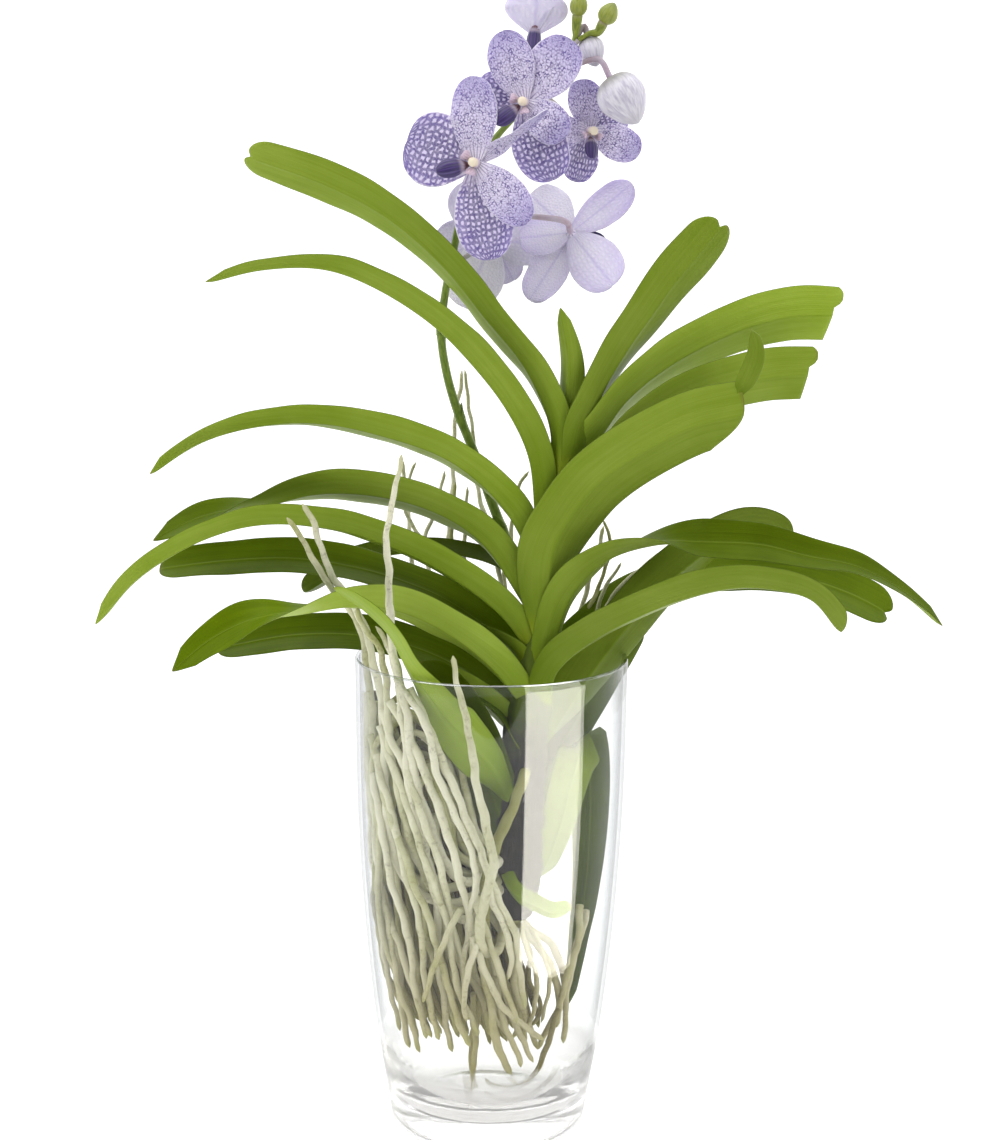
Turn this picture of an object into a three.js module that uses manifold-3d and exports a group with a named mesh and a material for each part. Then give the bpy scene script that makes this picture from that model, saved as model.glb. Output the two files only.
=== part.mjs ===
// A vanda orchid standing with its aerial roots in a tall clear glass vase.
// Millimetres, +Z up. The origin is the centre of the vase's foot; -Y is the front, +X the right.
import * as THREE from "three";
import { mergeVertices } from "three/addons/utils/BufferGeometryUtils.js";
import Module from "manifold-3d";

const wasm = await Module();
wasm.setup();

// ---------------------------------------------------------------- driving dimensions

const GAP = 0.35; // left between pieces that touch

// The vase's outer wall from the foot to the rim, as [radius, height].
const VASE_OUTSIDE = [
  [54, 0],
  [57, 3],
  [59.8, 18],
  [65.5, 52],
  [70.4, 90],
  [75, 138],
  [78.4, 196],
  [80, 285.6],
];
const VASE_HEIGHT = 286.5;
const VASE_WALL = 2.5;
const VASE_FLOOR = 16; // top of the thick glass foot
const VASE_FLOOR_RADIUS = 52;
const VASE_SIDES = 32;

// The stem's axis from its cut lower end to the crown, as [x, y, z, radius].
const STEM = [
  [12, -8, 128, 8.5],
  [16, -6, 182, 8.5],
  [22, -4, 231, 6.5],
  [27, -3, 270, 5.6],
  [29, -2, 308, 5.2],
  [32, -1, 344, 4.8],
  [37, 0, 379, 4.2],
  [43, 2, 414, 3],
];

// Leaves. line: the middle of the blade from its node on the stem to its tip.
// width: across the blade, opened flat. channel: degrees that each half rises from flat, at
// mid-length and at the tip. turn: degrees that the upper face turns to the front (negative: away,
// so that the underside shows), at even stations from node to tip. stations: where a blade that
// folds over needs its sections.
const LEAF_THICKNESS = 1.4;
const LEAVES = {
  leaf_left_1: {
    line: [[38, 0, 391], [40, 2, 416], [23, 5, 452], [-3, 8, 484], [-27, 12, 512], [-59, 17, 539],
      [-96, 22, 558], [-144, 27, 575]],
    width: 29,
    channel: [14, 12],
    turn: [0, -43, -45, -48, -55, -63, -63],
    tip: "notched",
  },
  leaf_left_2: {
    line: [[33, 0, 364], [27, -2, 404], [12, -5, 434], [-11, -10, 464], [-34, -18, 487], [-64, -26, 506],
      [-94, -34, 516], [-130, -41, 515], [-160, -45, 507]],
    width: 30,
    channel: [42, 40],
    turn: [0, -25, -18, -12, -10],
    tip: "pointed",
  },
  leaf_left_3: {
    line: [[33, 0, 336], [26, 1, 354], [7, 3, 380], [-25, 7, 403], [-58, 11, 415], [-97, 16, 423],
      [-134, 21, 421], [-173, 26, 409], [-203, 30, 388]],
    width: 30,
    channel: [22, 25],
    turn: [0, -47, -47, -45, -36, -30, -28],
    tip: "pointed",
  },
  leaf_left_4: {
    line: [[30, 0, 314], [18, 2, 331], [-3, 5, 355], [-35, 9, 373], [-66, 12, 381], [-103, 14, 382],
      [-135, 17, 374], [-172, 21, 364], [-201, 24, 349]],
    width: 30,
    channel: [20, 20],
    turn: [0, -44, -48, -50, -50, -38, -12, 25, 35],
    tip: "pointed",
  },
  leaf_left_5: {
    line: [[28, 0, 293], [13, -2, 312], [-18, -5, 335], [-56, -6, 354], [-91, -9, 366], [-133, -13, 368],
      [-168, -20, 359], [-203, -27, 338], [-227, -32, 310]],
    width: 29,
    channel: [24, 25],
    turn: [0, -42, -40, -38, -34, -34, -40, -46],
    tip: "pointed",
  },
  leaf_left_6: {
    line: [[26, 0, 281], [16, 3, 294], [-11, 7, 311], [-46, 9, 327], [-79, 10, 337], [-118, 11, 342],
      [-156, 12, 340], [-196, 13, 334]],
    width: 31,
    channel: [15, 15],
    turn: [0, 20, 26, 30, 34, 34, 32],
    tip: "round",
  },
  leaf_left_7: {
    line: [[26, -4, 261], [17, -8, 271], [-3, -13, 291], [-29, -20, 309], [-54, -28, 321], [-79, -40, 326],
      [-108, -50, 324], [-133, -57, 320], [-159, -60, 306], [-179, -62, 289]],
    width: 30,
    channel: [22, 20],
    turn: [0, -41, -43, -46, -40, -18, 12, 50, 58],
    tip: "pointed",
  },
  leaf_left_8: {
    line: [[24, 4, 252], [11, 8, 266], [-25, 12, 285], [-66, 14, 294], [-113, 12, 296], [-162, 10, 287]],
    width: 31,
    channel: [14, 14],
    turn: [0, 28, 32, 34, 34],
    tip: "round",
  },
  leaf_left_9: {
    line: [[20, 2, 232], [6, 0, 252], [-18, -4, 270], [-44, -6, 279]],
    width: 23,
    channel: [26, 26],
    turn: [0, -44, -46, -44, -40],
    tip: "round",
  },
  leaf_front: {
    line: [[15, -6, 198], [6, -14, 214], [-8, -33, 236], [-22, -46, 257], [-33, -56, 276], [-46, -64, 296],
      [-55, -70, 315], [-70, -73, 331], [-86, -74, 342]],
    width: 28,
    channel: [14, 20],
    turn: [-30, -62, -72, -70, -50, -30, -18, -34, -56],
    tip: "round",
  },
  leaf_back: {
    line: [[30, 4, 319], [17, 22, 333], [-31, 42, 343], [-80, 54, 335], [-115, 60, 313]],
    width: 25,
    channel: [24, 20],
    turn: [0, -30, -30, -30, -30],
    tip: "round",
  },
  leaf_crown: {
    line: [[43, 4, 408], [43, 4, 430], [44, 3, 460], [38, 2, 490]],
    width: 21,
    channel: [40, 35],
    turn: [0, -35, -45, -50, -50],
    tip: "pointed",
  },
  leaf_right_1: {
    line: [[42, 2, 396], [48, 2, 420], [57, 2, 436], [66, 4, 453], [77, 7, 471], [89, 10, 488], [100, 13, 503],
      [114, 17, 519], [131, 20, 539]],
    width: 33,
    channel: [18, 15],
    turn: [0, -38, -46, -56, -66, -74, -76],
    tip: "notched",
  },
  leaf_right_2: {
    line: [[38, 2, 376], [45, 5, 402], [62, 8, 421], [77, 11, 439], [99, 19, 456], [123, 27, 469],
      [147, 35, 478], [175, 41, 484], [205, 46, 484]],
    width: 35,
    channel: [14, 16],
    turn: [0, -40, -48, -58, -68, -76, -78],
    tip: "cut",
  },
  leaf_right_3: {
    line: [[33, 0, 344], [45, 0, 374], [65, 1, 397], [80, 2, 415], [98, 5, 430], [119, 8, 441], [140, 11, 447],
      [163, 15, 451], [188, 18, 452]],
    width: 34,
    channel: [14, 16],
    turn: [0, -44, -50, -58, -66, -76, -78],
    tip: "cut",
  },
  leaf_right_4: {
    line: [[31, -2, 302], [30, -4, 326], [34, -7, 352], [44, -9, 371], [58, -13, 390], [76, -17, 405],
      [93, -21, 416], [113, -24, 424], [136, -26, 428]],
    width: 38,
    channel: [16, 24],
    turn: [0, -56, -64, -70, -74, -78, -80],
    tip: "cut",
    lobe: {
      line: [[134, -25, 434], [143, -27, 446], [146, -29, 457], [149, -31, 470], [150, -33, 481]],
      width: 13,
      channel: [10, 10],
      turn: [-70, -66, -62, -60, -60],
      tip: "round",
    },
  },
  leaf_right_5: {
    line: [[28, -4, 273], [33, -7, 301], [42, -9, 325], [64, -12, 348], [94, -15, 359], [122, -18, 359],
      [154, -21, 358], [181, -23, 352], [209, -24, 346], [237, -26, 331], [259, -28, 313]],
    width: 31,
    channel: [20, 24],
    turn: [0, -45, -45, -28, 0, 38, 36, 26, 20, 12, 8],
    tip: "pointed",
  },
  leaf_right_6: {
    line: [[27, -6, 258], [30, -10, 276], [38, -14, 289], [58, -21, 305], [83, -29, 320], [105, -37, 331],
      [132, -43, 339], [156, -47, 340], [182, -50, 334], [199, -52, 315]],
    width: 30,
    channel: [28, 26],
    turn: [0, -36, -38, -38, -38, -36, -34],
    tip: "round",
  },
  leaf_right_7: {
    line: [[31, 8, 282], [58, 26, 300], [90, 42, 318], [138, 54, 326], [187, 60, 324], [216, 62, 315],
      [242, 63, 303]],
    width: 33,
    channel: [18, 14],
    turn: [0, 20, 30, 38, 42],
    tip: "notched",
  },
  leaf_right_8: {
    line: [[22, 4, 230], [43, 3, 267], [71, 3, 303], [98, 8, 328], [122, 21, 345], [146, 33, 358],
      [163, 41, 356], [177, 46, 347]],
    width: 36,
    channel: [18, 18],
    turn: [0, -62, -78, -76, -66, -50, -40],
    tip: "round",
  },
  leaf_in_vase_1: {
    line: [[14, 0, 146], [24, 5, 158], [36, 5, 182], [46, 4, 209], [54, 6, 228], [56, 12, 234], [58, 18, 227],
      [60, 21, 190], [59, 22, 148], [54, 21, 103], [48, 17, 66]],
    width: 24,
    channel: [8, 12],
    turn: [0, -60, -74, -82, -88, -94, -262, -250, -240, -230, -224, -220, -216, -214, -212, -210],
    tip: "pointed",
    stations: [0, 0.1, 0.2, 0.29, 0.325, 0.35, 0.375, 0.41, 0.47, 0.58, 0.72, 0.86, 1],
  },
  leaf_in_vase_2: {
    line: [[12, -11, 162], [13, -19, 153], [19, -22, 147], [28, -24, 143], [37, -24, 139], [48, -19, 139]],
    width: 17,
    channel: [16, 16],
    turn: [0, -50, -60, -60, -60],
    tip: "round",
  },
};

// Roots that hang in the vase as one bundle: its left and right edges, as [height, x].
const BUNDLE_LEFT = [[42, -46], [74, -50], [99, -63], [136, -68], [198, -70], [250, -71]];
const BUNDLE_RIGHT = [[42, 34], [82, 24], [123, 12], [150, 4], [174, -2], [210, -20], [250, -36]];
const HANGING_ROOTS = 16;
const CLIMBING_SHARE = 0.62; // of the hanging roots, which climb before they hang
const ROOT_RADIUS = [2, 2.7]; // thinnest and thickest of the hanging roots
const ROOT_SIDES = 5;
const BUNDLE_DEPTH = 46; // the furthest that a hanging root lies in front of or behind the axis

// Single roots with a course of their own, as a line and the radius at its start and its end.
const SINGLE_ROOTS = {
  tall_1: {
    line: [[16, -6, 168], [-26, -18, 150], [-58, -20, 172], [-68, -14, 225], [-71, -10, 276],
      [-75, -12, 292], [-83, -18, 318], [-93, -29, 334], [-106, -36, 356], [-116, -37, 373]],
    radius: [2.6, 0.9],
  },
  tall_2: {
    line: [[16, -6, 164], [-22, -22, 142], [-52, -32, 165], [-61, -32, 225], [-64, -28, 274],
      [-69, -24, 292], [-79, -21, 318], [-90, -29, 338], [-98, -35, 357], [-102, -37, 371], [-108, -38, 381]],
    radius: [2.6, 1],
  },
  tall_3: {
    line: [[16, -6, 172], [-14, -30, 158], [-38, -44, 205], [-48, -51, 262], [-55, -50, 299], [-58, -50, 326],
      [-58, -56, 348], [-58, -57, 368], [-56, -56, 385], [-51, -55, 412]],
    radius: [2.7, 0.9],
  },
  tall_4: {
    line: [[16, -6, 160], [-20, -30, 140], [-47, -40, 190], [-58, -40, 250], [-62, -40, 289], [-69, -52, 306],
      [-76, -64, 327]],
    radius: [2.6, 0.9],
  },
  tall_5: {
    line: [[16, -6, 156], [-16, -34, 136], [-40, -46, 190], [-50, -46, 250], [-55, -44, 292], [-61, -46, 304],
      [-66, -47, 313]],
    radius: [2.5, 1],
  },
  glass_side: {
    line: [[12, -8, 138], [6, -28, 116], [-4, -50, 124], [-5, -62, 143], [2, -65, 177], [-2, -66, 200],
      [-9, -67, 238], [-17, -68, 278], [-21, -68, 301]],
    radius: [2.9, 1],
  },
  thick: {
    line: [[21, -6, 222], [20, -21, 218], [13, -29, 204], [5, -32, 184], [-1, -34, 160], [-3, -34, 120],
      [5, -30, 58]],
    radius: [3, 1.6],
  },
  right_1: {
    line: [[12, -8, 134], [24, 6, 118], [38, 12, 106], [45, 10, 82], [36, 4, 44]],
    radius: [2.6, 1.4],
  },
  right_2: {
    line: [[12, -8, 132], [26, -6, 116], [37, -4, 96], [42, -4, 72], [30, -6, 46]],
    radius: [2.5, 1.4],
  },
  long_tip: {
    line: [[12, -8, 130], [2, -14, 104], [-8, -18, 66], [-9, -20, 40], [-5, -22, 19.8]],
    radius: [2.6, 1.1],
  },
  back_1: {
    line: [[16, -6, 176], [6, 22, 196], [-16, 44, 250], [-26, 58, 330], [-24, 60, 400], [-20, 60, 448]],
    radius: [1.8, 0.8],
  },
  back_2: {
    line: [[16, -6, 172], [-4, 26, 190], [-34, 46, 262], [-50, 64, 340], [-54, 64, 392]],
    radius: [1.8, 0.8],
  },
  back_3: {
    line: [[16, -6, 180], [26, 26, 214], [44, 38, 280], [58, 44, 320], [66, 48, 356]],
    radius: [1.9, 0.8],
  },
};
const ROOT_STEP = 27; // the length of one straight stretch of a root
const ROOT_CLEARANCE = 2; // between a root and the glass

// The flower spike's stalk from its leaf axil to its tip, and the flower stalks that branch off it.
const SPIKE = [
  [30, 3, 322], [18, 16, 332], [8, 23, 352], [-1, 26, 374], [-10, 27, 399], [-22, 28, 429], [-28, 28, 450],
  [-31, 28, 471], [-29, 28, 495], [-24, 27, 521], [-15, 23, 561], [-1, 20, 584], [19, 17, 606],
  [35, 14, 626], [46, 12, 640],
];
const SPIKE_RADIUS = [3.2, 1.5];
const SPIKE_STEPS = 16;
const PEDICEL_RADIUS = [1.3, 1.1];

// Blooms. facing: the way the bloom looks. Each tepal has the angle at which it stands, clockwise
// from straight up as seen from the front, its length and width, how far it leans forward out of
// the bloom's plane in degrees at its base and its tip, and its twist. stalk: where on the spike
// (0 to 1) its pedicel leaves.
const BLOOMS = {
  bloom_1: {
    centre: [-11, -12, 571],
    facing: [-0.25, -0.95, 0.1],
    stalk: 0.76,
    tepals: [
      { kind: "sepal", angle: 60, length: 47, width: 24, lean: [8, -4], twist: 74 },
      { kind: "sepal", angle: 171, length: 54, width: 34, lean: [6, -8] },
      { kind: "sepal", angle: 289.5, length: 45, width: 36, lean: [6, -8] },
      { kind: "petal", angle: 358, length: 48, width: 27, lean: [10, -6] },
      { kind: "petal", angle: 136, length: 45, width: 24, lean: [14, -2] },
    ],
    lip: { angle: 253, length: 20 },
  },
  bloom_2: {
    centre: [16, -2, 605],
    facing: [-0.2, -0.96, 0.05],
    stalk: 0.86,
    tepals: [
      { kind: "sepal", angle: 37.5, length: 43, width: 30, lean: [4, -8] },
      { kind: "sepal", angle: 160, length: 46, width: 32, lean: [4, -8] },
      { kind: "sepal", angle: 284, length: 30, width: 26, lean: [2, -12] },
      { kind: "petal", angle: 341.6, length: 41, width: 26, lean: [12, -4] },
      { kind: "petal", angle: 129, length: 31, width: 23, lean: [12, 2] },
    ],
    lip: { angle: 228, length: 19 },
  },
  bloom_3: {
    centre: [53, 16, 589],
    facing: [0.3, -0.94, 0.05],
    stalk: 0.9,
    tepals: [
      { kind: "sepal", angle: 355, length: 30, width: 22, lean: [0, -12] },
      { kind: "sepal", angle: 194, length: 29, width: 21, lean: [0, -12] },
      { kind: "sepal", angle: 66, length: 27, width: 20, lean: [-4, -22] },
      { kind: "petal", angle: 111, length: 31, width: 21, lean: [12, 0] },
      { kind: "petal", angle: 270, length: 28, width: 19, lean: [4, -4] },
    ],
    lip: { angle: 186, length: 15 },
  },
  bloom_4: {
    centre: [44, 24, 531],
    facing: [0.2, 0.9, -0.3],
    stalk: 0.66,
    tepals: [
      { kind: "sepal", angle: 50.5, length: 45, width: 22, lean: [8, -6] },
      { kind: "sepal", angle: 140, length: 38, width: 31, lean: [6, -6] },
      { kind: "sepal", angle: 262, length: 30, width: 23, lean: [0, -8] },
      { kind: "petal", angle: 313, length: 35, width: 30, lean: [14, 2] },
      { kind: "petal", angle: 215, length: 45, width: 24, lean: [14, 4] },
    ],
    lip: { angle: 95, length: 18 },
  },
  bloom_5: {
    centre: [-2, 46, 526],
    facing: [-0.25, 0.95, 0.1],
    stalk: 0.58,
    tepals: [
      { kind: "sepal", angle: 203, length: 43, width: 36, lean: [6, -6] },
      { kind: "sepal", angle: 95, length: 36, width: 28, lean: [6, 4] },
      { kind: "sepal", angle: 330, length: 38, width: 28, lean: [6, -4] },
      { kind: "petal", angle: 150, length: 30, width: 23, lean: [16, 8] },
      { kind: "petal", angle: 268, length: 32, width: 24, lean: [16, 8] },
    ],
    lip: { angle: 20, length: 17 },
  },
  bloom_6: {
    centre: [20, 22, 650],
    facing: [-0.1, -0.85, -0.5],
    stalk: 0.94,
    tepals: [
      { kind: "sepal", angle: 345, length: 29, width: 26, lean: [28, 56] },
      { kind: "sepal", angle: 105, length: 19, width: 16, lean: [34, 56] },
      { kind: "sepal", angle: 250, length: 19, width: 16, lean: [34, 56] },
      { kind: "petal", angle: 55, length: 22, width: 15, lean: [50, 66] },
      { kind: "petal", angle: 290, length: 18, width: 12, lean: [52, 70] },
    ],
    lip: { angle: 200, length: 13 },
  },
};
const TEPAL_THICKNESS = 1;
const TEPAL_STATIONS = [0, 0.28, 0.58, 0.84, 1];
const TEPAL_COLUMNS = [-1, -0.4, 0.4, 1];
const TEPAL_START = { petal: 0.6, sepal: -1.6, lip: 3.4 }; // along the facing, from the centre
const TEPAL_CUP = { petal: -0.1, sepal: 0.12, lip: -0.55 };
const LIP_WIDTH = 10;
const LIP_LEAN = [62, 2];
const LIP_INSET = 3.4; // from the bloom's axis to the lip's foot
const HUB_RADIUS = 3.2;
const HUB_ENDS = [-4, 2.6]; // along the facing
const COLUMN_LENGTH = 7;
const COLUMN_RADIUS = 2.6;

// Buds: centre, the way they point, length, radius, and where on the spike their stalk leaves.
const BUDS = {
  bud_1: { centre: [72, 2, 607], points: [0.86, -0.3, -0.42], length: 27, radius: 11.5, stalk: 0.93 },
  bud_2: { centre: [54, 16, 630], points: [0.55, -0.2, -0.8], length: 17, radius: 7.4, stalk: 0.96 },
  bud_3: { centre: [63, 12, 655], points: [0.5, -0.1, 0.86], length: 13, radius: 5.6, stalk: 1 },
  bud_4: { centre: [46, 12, 660], points: [0.1, -0.1, 1], length: 14, radius: 5, stalk: 0.98 },
};
const BUD_PROFILE = [[0, 0], [0.55, 0.08], [0.94, 0.3], [1, 0.55], [0.72, 0.82], [0, 1]];
const BUD_SIDES = 7;

// ---------------------------------------------------------------- solids and meshes

const vec = (p) => new THREE.Vector3(p[0], p[1], p[2]);
const rad = THREE.MathUtils.degToRad;
const { clamp, lerp, smoothstep } = THREE.MathUtils;

// A closed geometry as a manifold solid. A geometry whose faces point in is turned round.
function solid(geometry) {
  const bare = geometry.clone();
  bare.deleteAttribute("normal");
  bare.deleteAttribute("uv");
  const merged = mergeVertices(bare, 1e-4);
  const triVerts = new Uint32Array(merged.index.array);
  const vertProperties = merged.attributes.position.array;
  const build = () => new wasm.Manifold(new wasm.Mesh({ numProp: 3, vertProperties, triVerts }));
  const made = build();
  if (made.volume() > 0) return made;
  for (let i = 0; i < triVerts.length; i += 3) {
    [triVerts[i + 1], triVerts[i + 2]] = [triVerts[i + 2], triVerts[i + 1]];
  }
  return build();
}

// The largest body of a solid: loose scraps are dropped and sealed hollows filled.
function wholeBody(body) {
  return body.decompose().reduce((a, b) => (b.volume() > a.volume() ? b : a));
}

const joined = (bodies) => bodies.reduce((a, b) => a.add(b));
const cutClear = (body, others) => wholeBody(others.reduce((a, b) => a.subtract(b), body));

function geometryOf(body) {
  const mesh = body.getMesh();
  const positions = new Float32Array(mesh.numVert * 3);
  for (let i = 0; i < mesh.numVert; i++) {
    positions.set(mesh.vertProperties.subarray(i * mesh.numProp, i * mesh.numProp + 3), i * 3);
  }
  const geometry = new THREE.BufferGeometry();
  geometry.setAttribute("position", new THREE.BufferAttribute(positions, 3));
  geometry.setIndex(new THREE.BufferAttribute(new Uint32Array(mesh.triVerts), 1));
  geometry.computeVertexNormals();
  return geometry;
}

// A seeded random number between 0 and 1.
function seeded(seed) {
  let state = seed;
  return () => {
    state = (state * 1664525 + 1013904223) % 4294967296;
    return state / 4294967296;
  };
}

// Values given at even stations, read at t from 0 to 1 with smooth steps between them.
function along(values, t) {
  const at = clamp(t, 0, 1) * (values.length - 1);
  const i = Math.min(Math.floor(at), values.length - 2);
  return lerp(values[i], values[i + 1], smoothstep(at - i, 0, 1));
}

// Read straight between [position, value] pairs in rising order.
function between(pairs, position) {
  const last = pairs.length - 1;
  const i = clamp(pairs.findIndex(([p]) => p > position), 1, last) || last;
  const [[p0, v0], [p1, v1]] = [pairs[i - 1], pairs[i]];
  return lerp(v0, v1, clamp((position - p0) / (p1 - p0), 0, 1));
}

const smoothLine = (line) => new THREE.CatmullRomCurve3(line.map(vec), false, "centripetal");

// A closed solid from rings of points, all with the same count.
function loft(rings) {
  const count = rings[0].length;
  const points = rings.flat();
  const faces = [];
  for (let r = 0; r < rings.length - 1; r++) {
    for (let i = 0; i < count; i++) {
      const j = (i + 1) % count;
      const [a, b] = [r * count + i, r * count + j];
      faces.push(a, b, b + count, a, b + count, a + count);
    }
  }
  const last = (rings.length - 1) * count;
  for (let i = 1; i < count - 1; i++) {
    faces.push(0, i + 1, i);
    faces.push(last, last + i, last + i + 1);
  }
  const geometry = new THREE.BufferGeometry().setFromPoints(points);
  geometry.setIndex(faces);
  return solid(geometry);
}

// A round tube along a smooth line of [x, y, z] points. radius is a function of t from 0 to 1.
function tube(line, radius, steps, sides) {
  const curve = smoothLine(line);
  const frames = curve.computeFrenetFrames(steps, false);
  const rings = [];
  for (let k = 0; k <= steps; k++) {
    const centre = curve.getPointAt(k / steps);
    const ring = [];
    for (let i = 0; i < sides; i++) {
      const angle = (2 * Math.PI * i) / sides;
      ring.push(
        centre
          .clone()
          .addScaledVector(frames.normals[k], radius(k / steps) * Math.cos(angle))
          .addScaledVector(frames.binormals[k], radius(k / steps) * Math.sin(angle)),
      );
    }
    rings.push(ring);
  }
  return loft(rings);
}

// A thick sheet whose middle surface is surface(s, u), s from 0 to 1 along it and u from -1 to 1
// across. Both faces are split into triangles alike, so that a waved sheet never crosses itself.
function sheet(surface, stations, columns, thickness) {
  const step = 1e-3;
  const upper = [];
  const lower = [];
  for (const s of stations) {
    for (const u of columns) {
      const sAhead = Math.min(s + step, 1);
      const uAhead = Math.min(u + step, 1);
      const alongS = surface(sAhead, u).sub(surface(sAhead - step, u));
      const acrossU = surface(s, uAhead).sub(surface(s, uAhead - step));
      const normal = alongS.cross(acrossU).normalize();
      const half = thickness(s, u) / 2;
      upper.push(surface(s, u).addScaledVector(normal, half));
      lower.push(surface(s, u).addScaledVector(normal, -half));
    }
  }
  const [rows, cols] = [stations.length, columns.length];
  const under = rows * cols;
  const faces = [];
  const quad = (a, b, c, d) => faces.push(a, b, c, a, c, d);
  for (let r = 0; r < rows - 1; r++) {
    for (let i = 0; i < cols - 1; i++) {
      const a = r * cols + i;
      const [b, c, d] = [a + 1, a + cols + 1, a + cols];
      faces.push(a, c, b, a, d, c);
      faces.push(under + a, under + b, under + c, under + a, under + c, under + d);
    }
    const left = r * cols;
    const right = r * cols + cols - 1;
    quad(left, under + left, under + left + cols, left + cols);
    quad(right, right + cols, under + right + cols, under + right);
  }
  const end = (rows - 1) * cols;
  for (let i = 0; i < cols - 1; i++) {
    quad(i, i + 1, under + i + 1, under + i);
    quad(end + i, under + end + i, under + end + i + 1, end + i + 1);
  }
  const geometry = new THREE.BufferGeometry().setFromPoints([...upper, ...lower]);
  geometry.setIndex(faces);
  return solid(geometry);
}

// ---------------------------------------------------------------- vase

function vaseSolid() {
  const point = ([r, z]) => new THREE.Vector2(r, z);
  const rimRadius = VASE_OUTSIDE[VASE_OUTSIDE.length - 1][0];
  const inside = VASE_OUTSIDE.slice(2).reverse();
  const profile = [
    point([0, 0]),
    ...VASE_OUTSIDE.map(point),
    point([rimRadius - VASE_WALL / 2, VASE_HEIGHT]),
    ...inside.map(([r, z]) => point([r - VASE_WALL, Math.max(z, VASE_FLOOR + 6)])),
    point([VASE_FLOOR_RADIUS, VASE_FLOOR + 1]),
    point([0, VASE_FLOOR]),
  ];
  const geometry = new THREE.LatheGeometry(profile, VASE_SIDES);
  geometry.rotateX(Math.PI / 2);
  return solid(geometry);
}

// ---------------------------------------------------------------- leaves

const LEAF_STATIONS = [0, 0.07, 0.16, 0.27, 0.39, 0.52, 0.65, 0.78, 0.9, 1];
const LEAF_COLUMNS = [-1, -0.5, 0, 0.5, 1];
const SHEATH_ANGLES = [35, 85]; // the inner and outer quarter of a blade, where it wraps the stem
const SHEATH_LENGTH = 0.16; // of the leaf's length
const SHEATH_SHIFT = 1.6; // the sheath's keel is pushed out past the stem

// How far each column of a blade reaches at the tip, in widths, at |u| = 0, 0.5 and 1.
const TIP_REACH = {
  notched: [-0.22, 0, -0.42],
  pointed: [0, -0.1, -0.3],
  round: [0, -0.06, -0.4],
  cut: [-0.04, 0, -0.02],
};
// The share of the length where the blade starts to narrow, and the width left at the tip.
const TIP_START = { notched: 0.8, pointed: 0.35, round: 0.72, cut: 0.9 };
const TIP_WIDTH = { notched: 0.62, pointed: 0.22, round: 0.55, cut: 0.92 };

function leafWidth(tip, t) {
  const base = lerp(0.92, 1, smoothstep(t, 0, 0.3));
  const past = clamp((t - TIP_START[tip]) / (1 - TIP_START[tip]), 0, 1);
  return base * lerp(1, TIP_WIDTH[tip], past ** 1.8);
}

// The middle surface of a leaf. The line is the middle of its folded section.
function leafSurface({ line, width, channel, turn, tip }, grow) {
  const curve = smoothLine(line);
  const length = curve.getLength();
  const heading = vec(line[line.length - 1]).sub(vec(line[0])).setZ(0).normalize();
  const side = heading.x < 0 ? 1 : -1;
  const front = new THREE.Vector3(-heading.y, heading.x, 0).multiplyScalar(side);
  return (s, u) => {
    const reach = along(TIP_REACH[tip], Math.abs(u)) * (width / length);
    const t = clamp(s * (1 + reach), 0, 1);
    const tangent = curve.getTangentAt(t);
    const across = front.clone().addScaledVector(tangent, -front.dot(tangent)).normalize();
    const up = tangent.clone().cross(across).multiplyScalar(side);
    const angle = rad(along(turn, t));
    const normal = up.clone().multiplyScalar(Math.cos(angle)).addScaledVector(across, Math.sin(angle));
    const toFront = across.clone().multiplyScalar(Math.cos(angle)).addScaledVector(up, -Math.sin(angle));
    const open = smoothstep(t, 0, 2 * SHEATH_LENGTH);
    const fold = lerp(channel[0], channel[1], smoothstep(t, 0.5, 1));
    const inner = rad(lerp(SHEATH_ANGLES[0], fold * 0.8, open));
    const outer = rad(lerp(SHEATH_ANGLES[1], fold * 1.2, open));
    const quarter = (width * leafWidth(tip, t) + grow) / 4;
    const halves = Math.abs(u) * 2;
    const first = Math.min(halves, 1) * quarter;
    const second = Math.max(halves - 1, 0) * quarter;
    const out = first * Math.cos(inner) + second * Math.cos(outer);
    const rise = first * Math.sin(inner) + second * Math.sin(outer);
    const middle = 0.5 * quarter * (Math.sin(inner) + Math.sin(outer)) + SHEATH_SHIFT * (1 - open);
    return curve
      .getPointAt(t)
      .addScaledVector(toFront, Math.sign(u) * out)
      .addScaledVector(normal, rise - middle);
  };
}

// A leaf, or with grow the space that it needs.
function leafSolid(leaf, grow = 0) {
  const thickness = (s, u) => LEAF_THICKNESS * (1 - 0.4 * Math.abs(u)) + grow;
  const blade = sheet(leafSurface(leaf, grow), leaf.stations ?? LEAF_STATIONS, LEAF_COLUMNS, thickness);
  return leaf.lobe ? blade.add(leafSolid(leaf.lobe, grow)) : blade;
}

// ---------------------------------------------------------------- stem and roots

const STEM_STEPS = 10;
const STEM_SIDES = 8;

function stemSolid(grow = 0) {
  const radii = STEM.map((p) => p[3]);
  return tube(STEM, (t) => along(radii, t) + grow, STEM_STEPS, STEM_SIDES);
}

// The inner radius of the vase at a height.
function vaseInside(z) {
  return between(VASE_OUTSIDE.map(([r, height]) => [height, r]), z) - VASE_WALL;
}

// Pulls a root's point in until the root stays clear of the glass.
function insideGlass([x, y, z], radius) {
  const most = vaseInside(z) * Math.cos(Math.PI / VASE_SIDES) - radius - ROOT_CLEARANCE;
  const pull = z > VASE_HEIGHT ? 1 : Math.min(1, most / Math.hypot(x, y));
  return [x * pull, y * pull, z];
}

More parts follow.
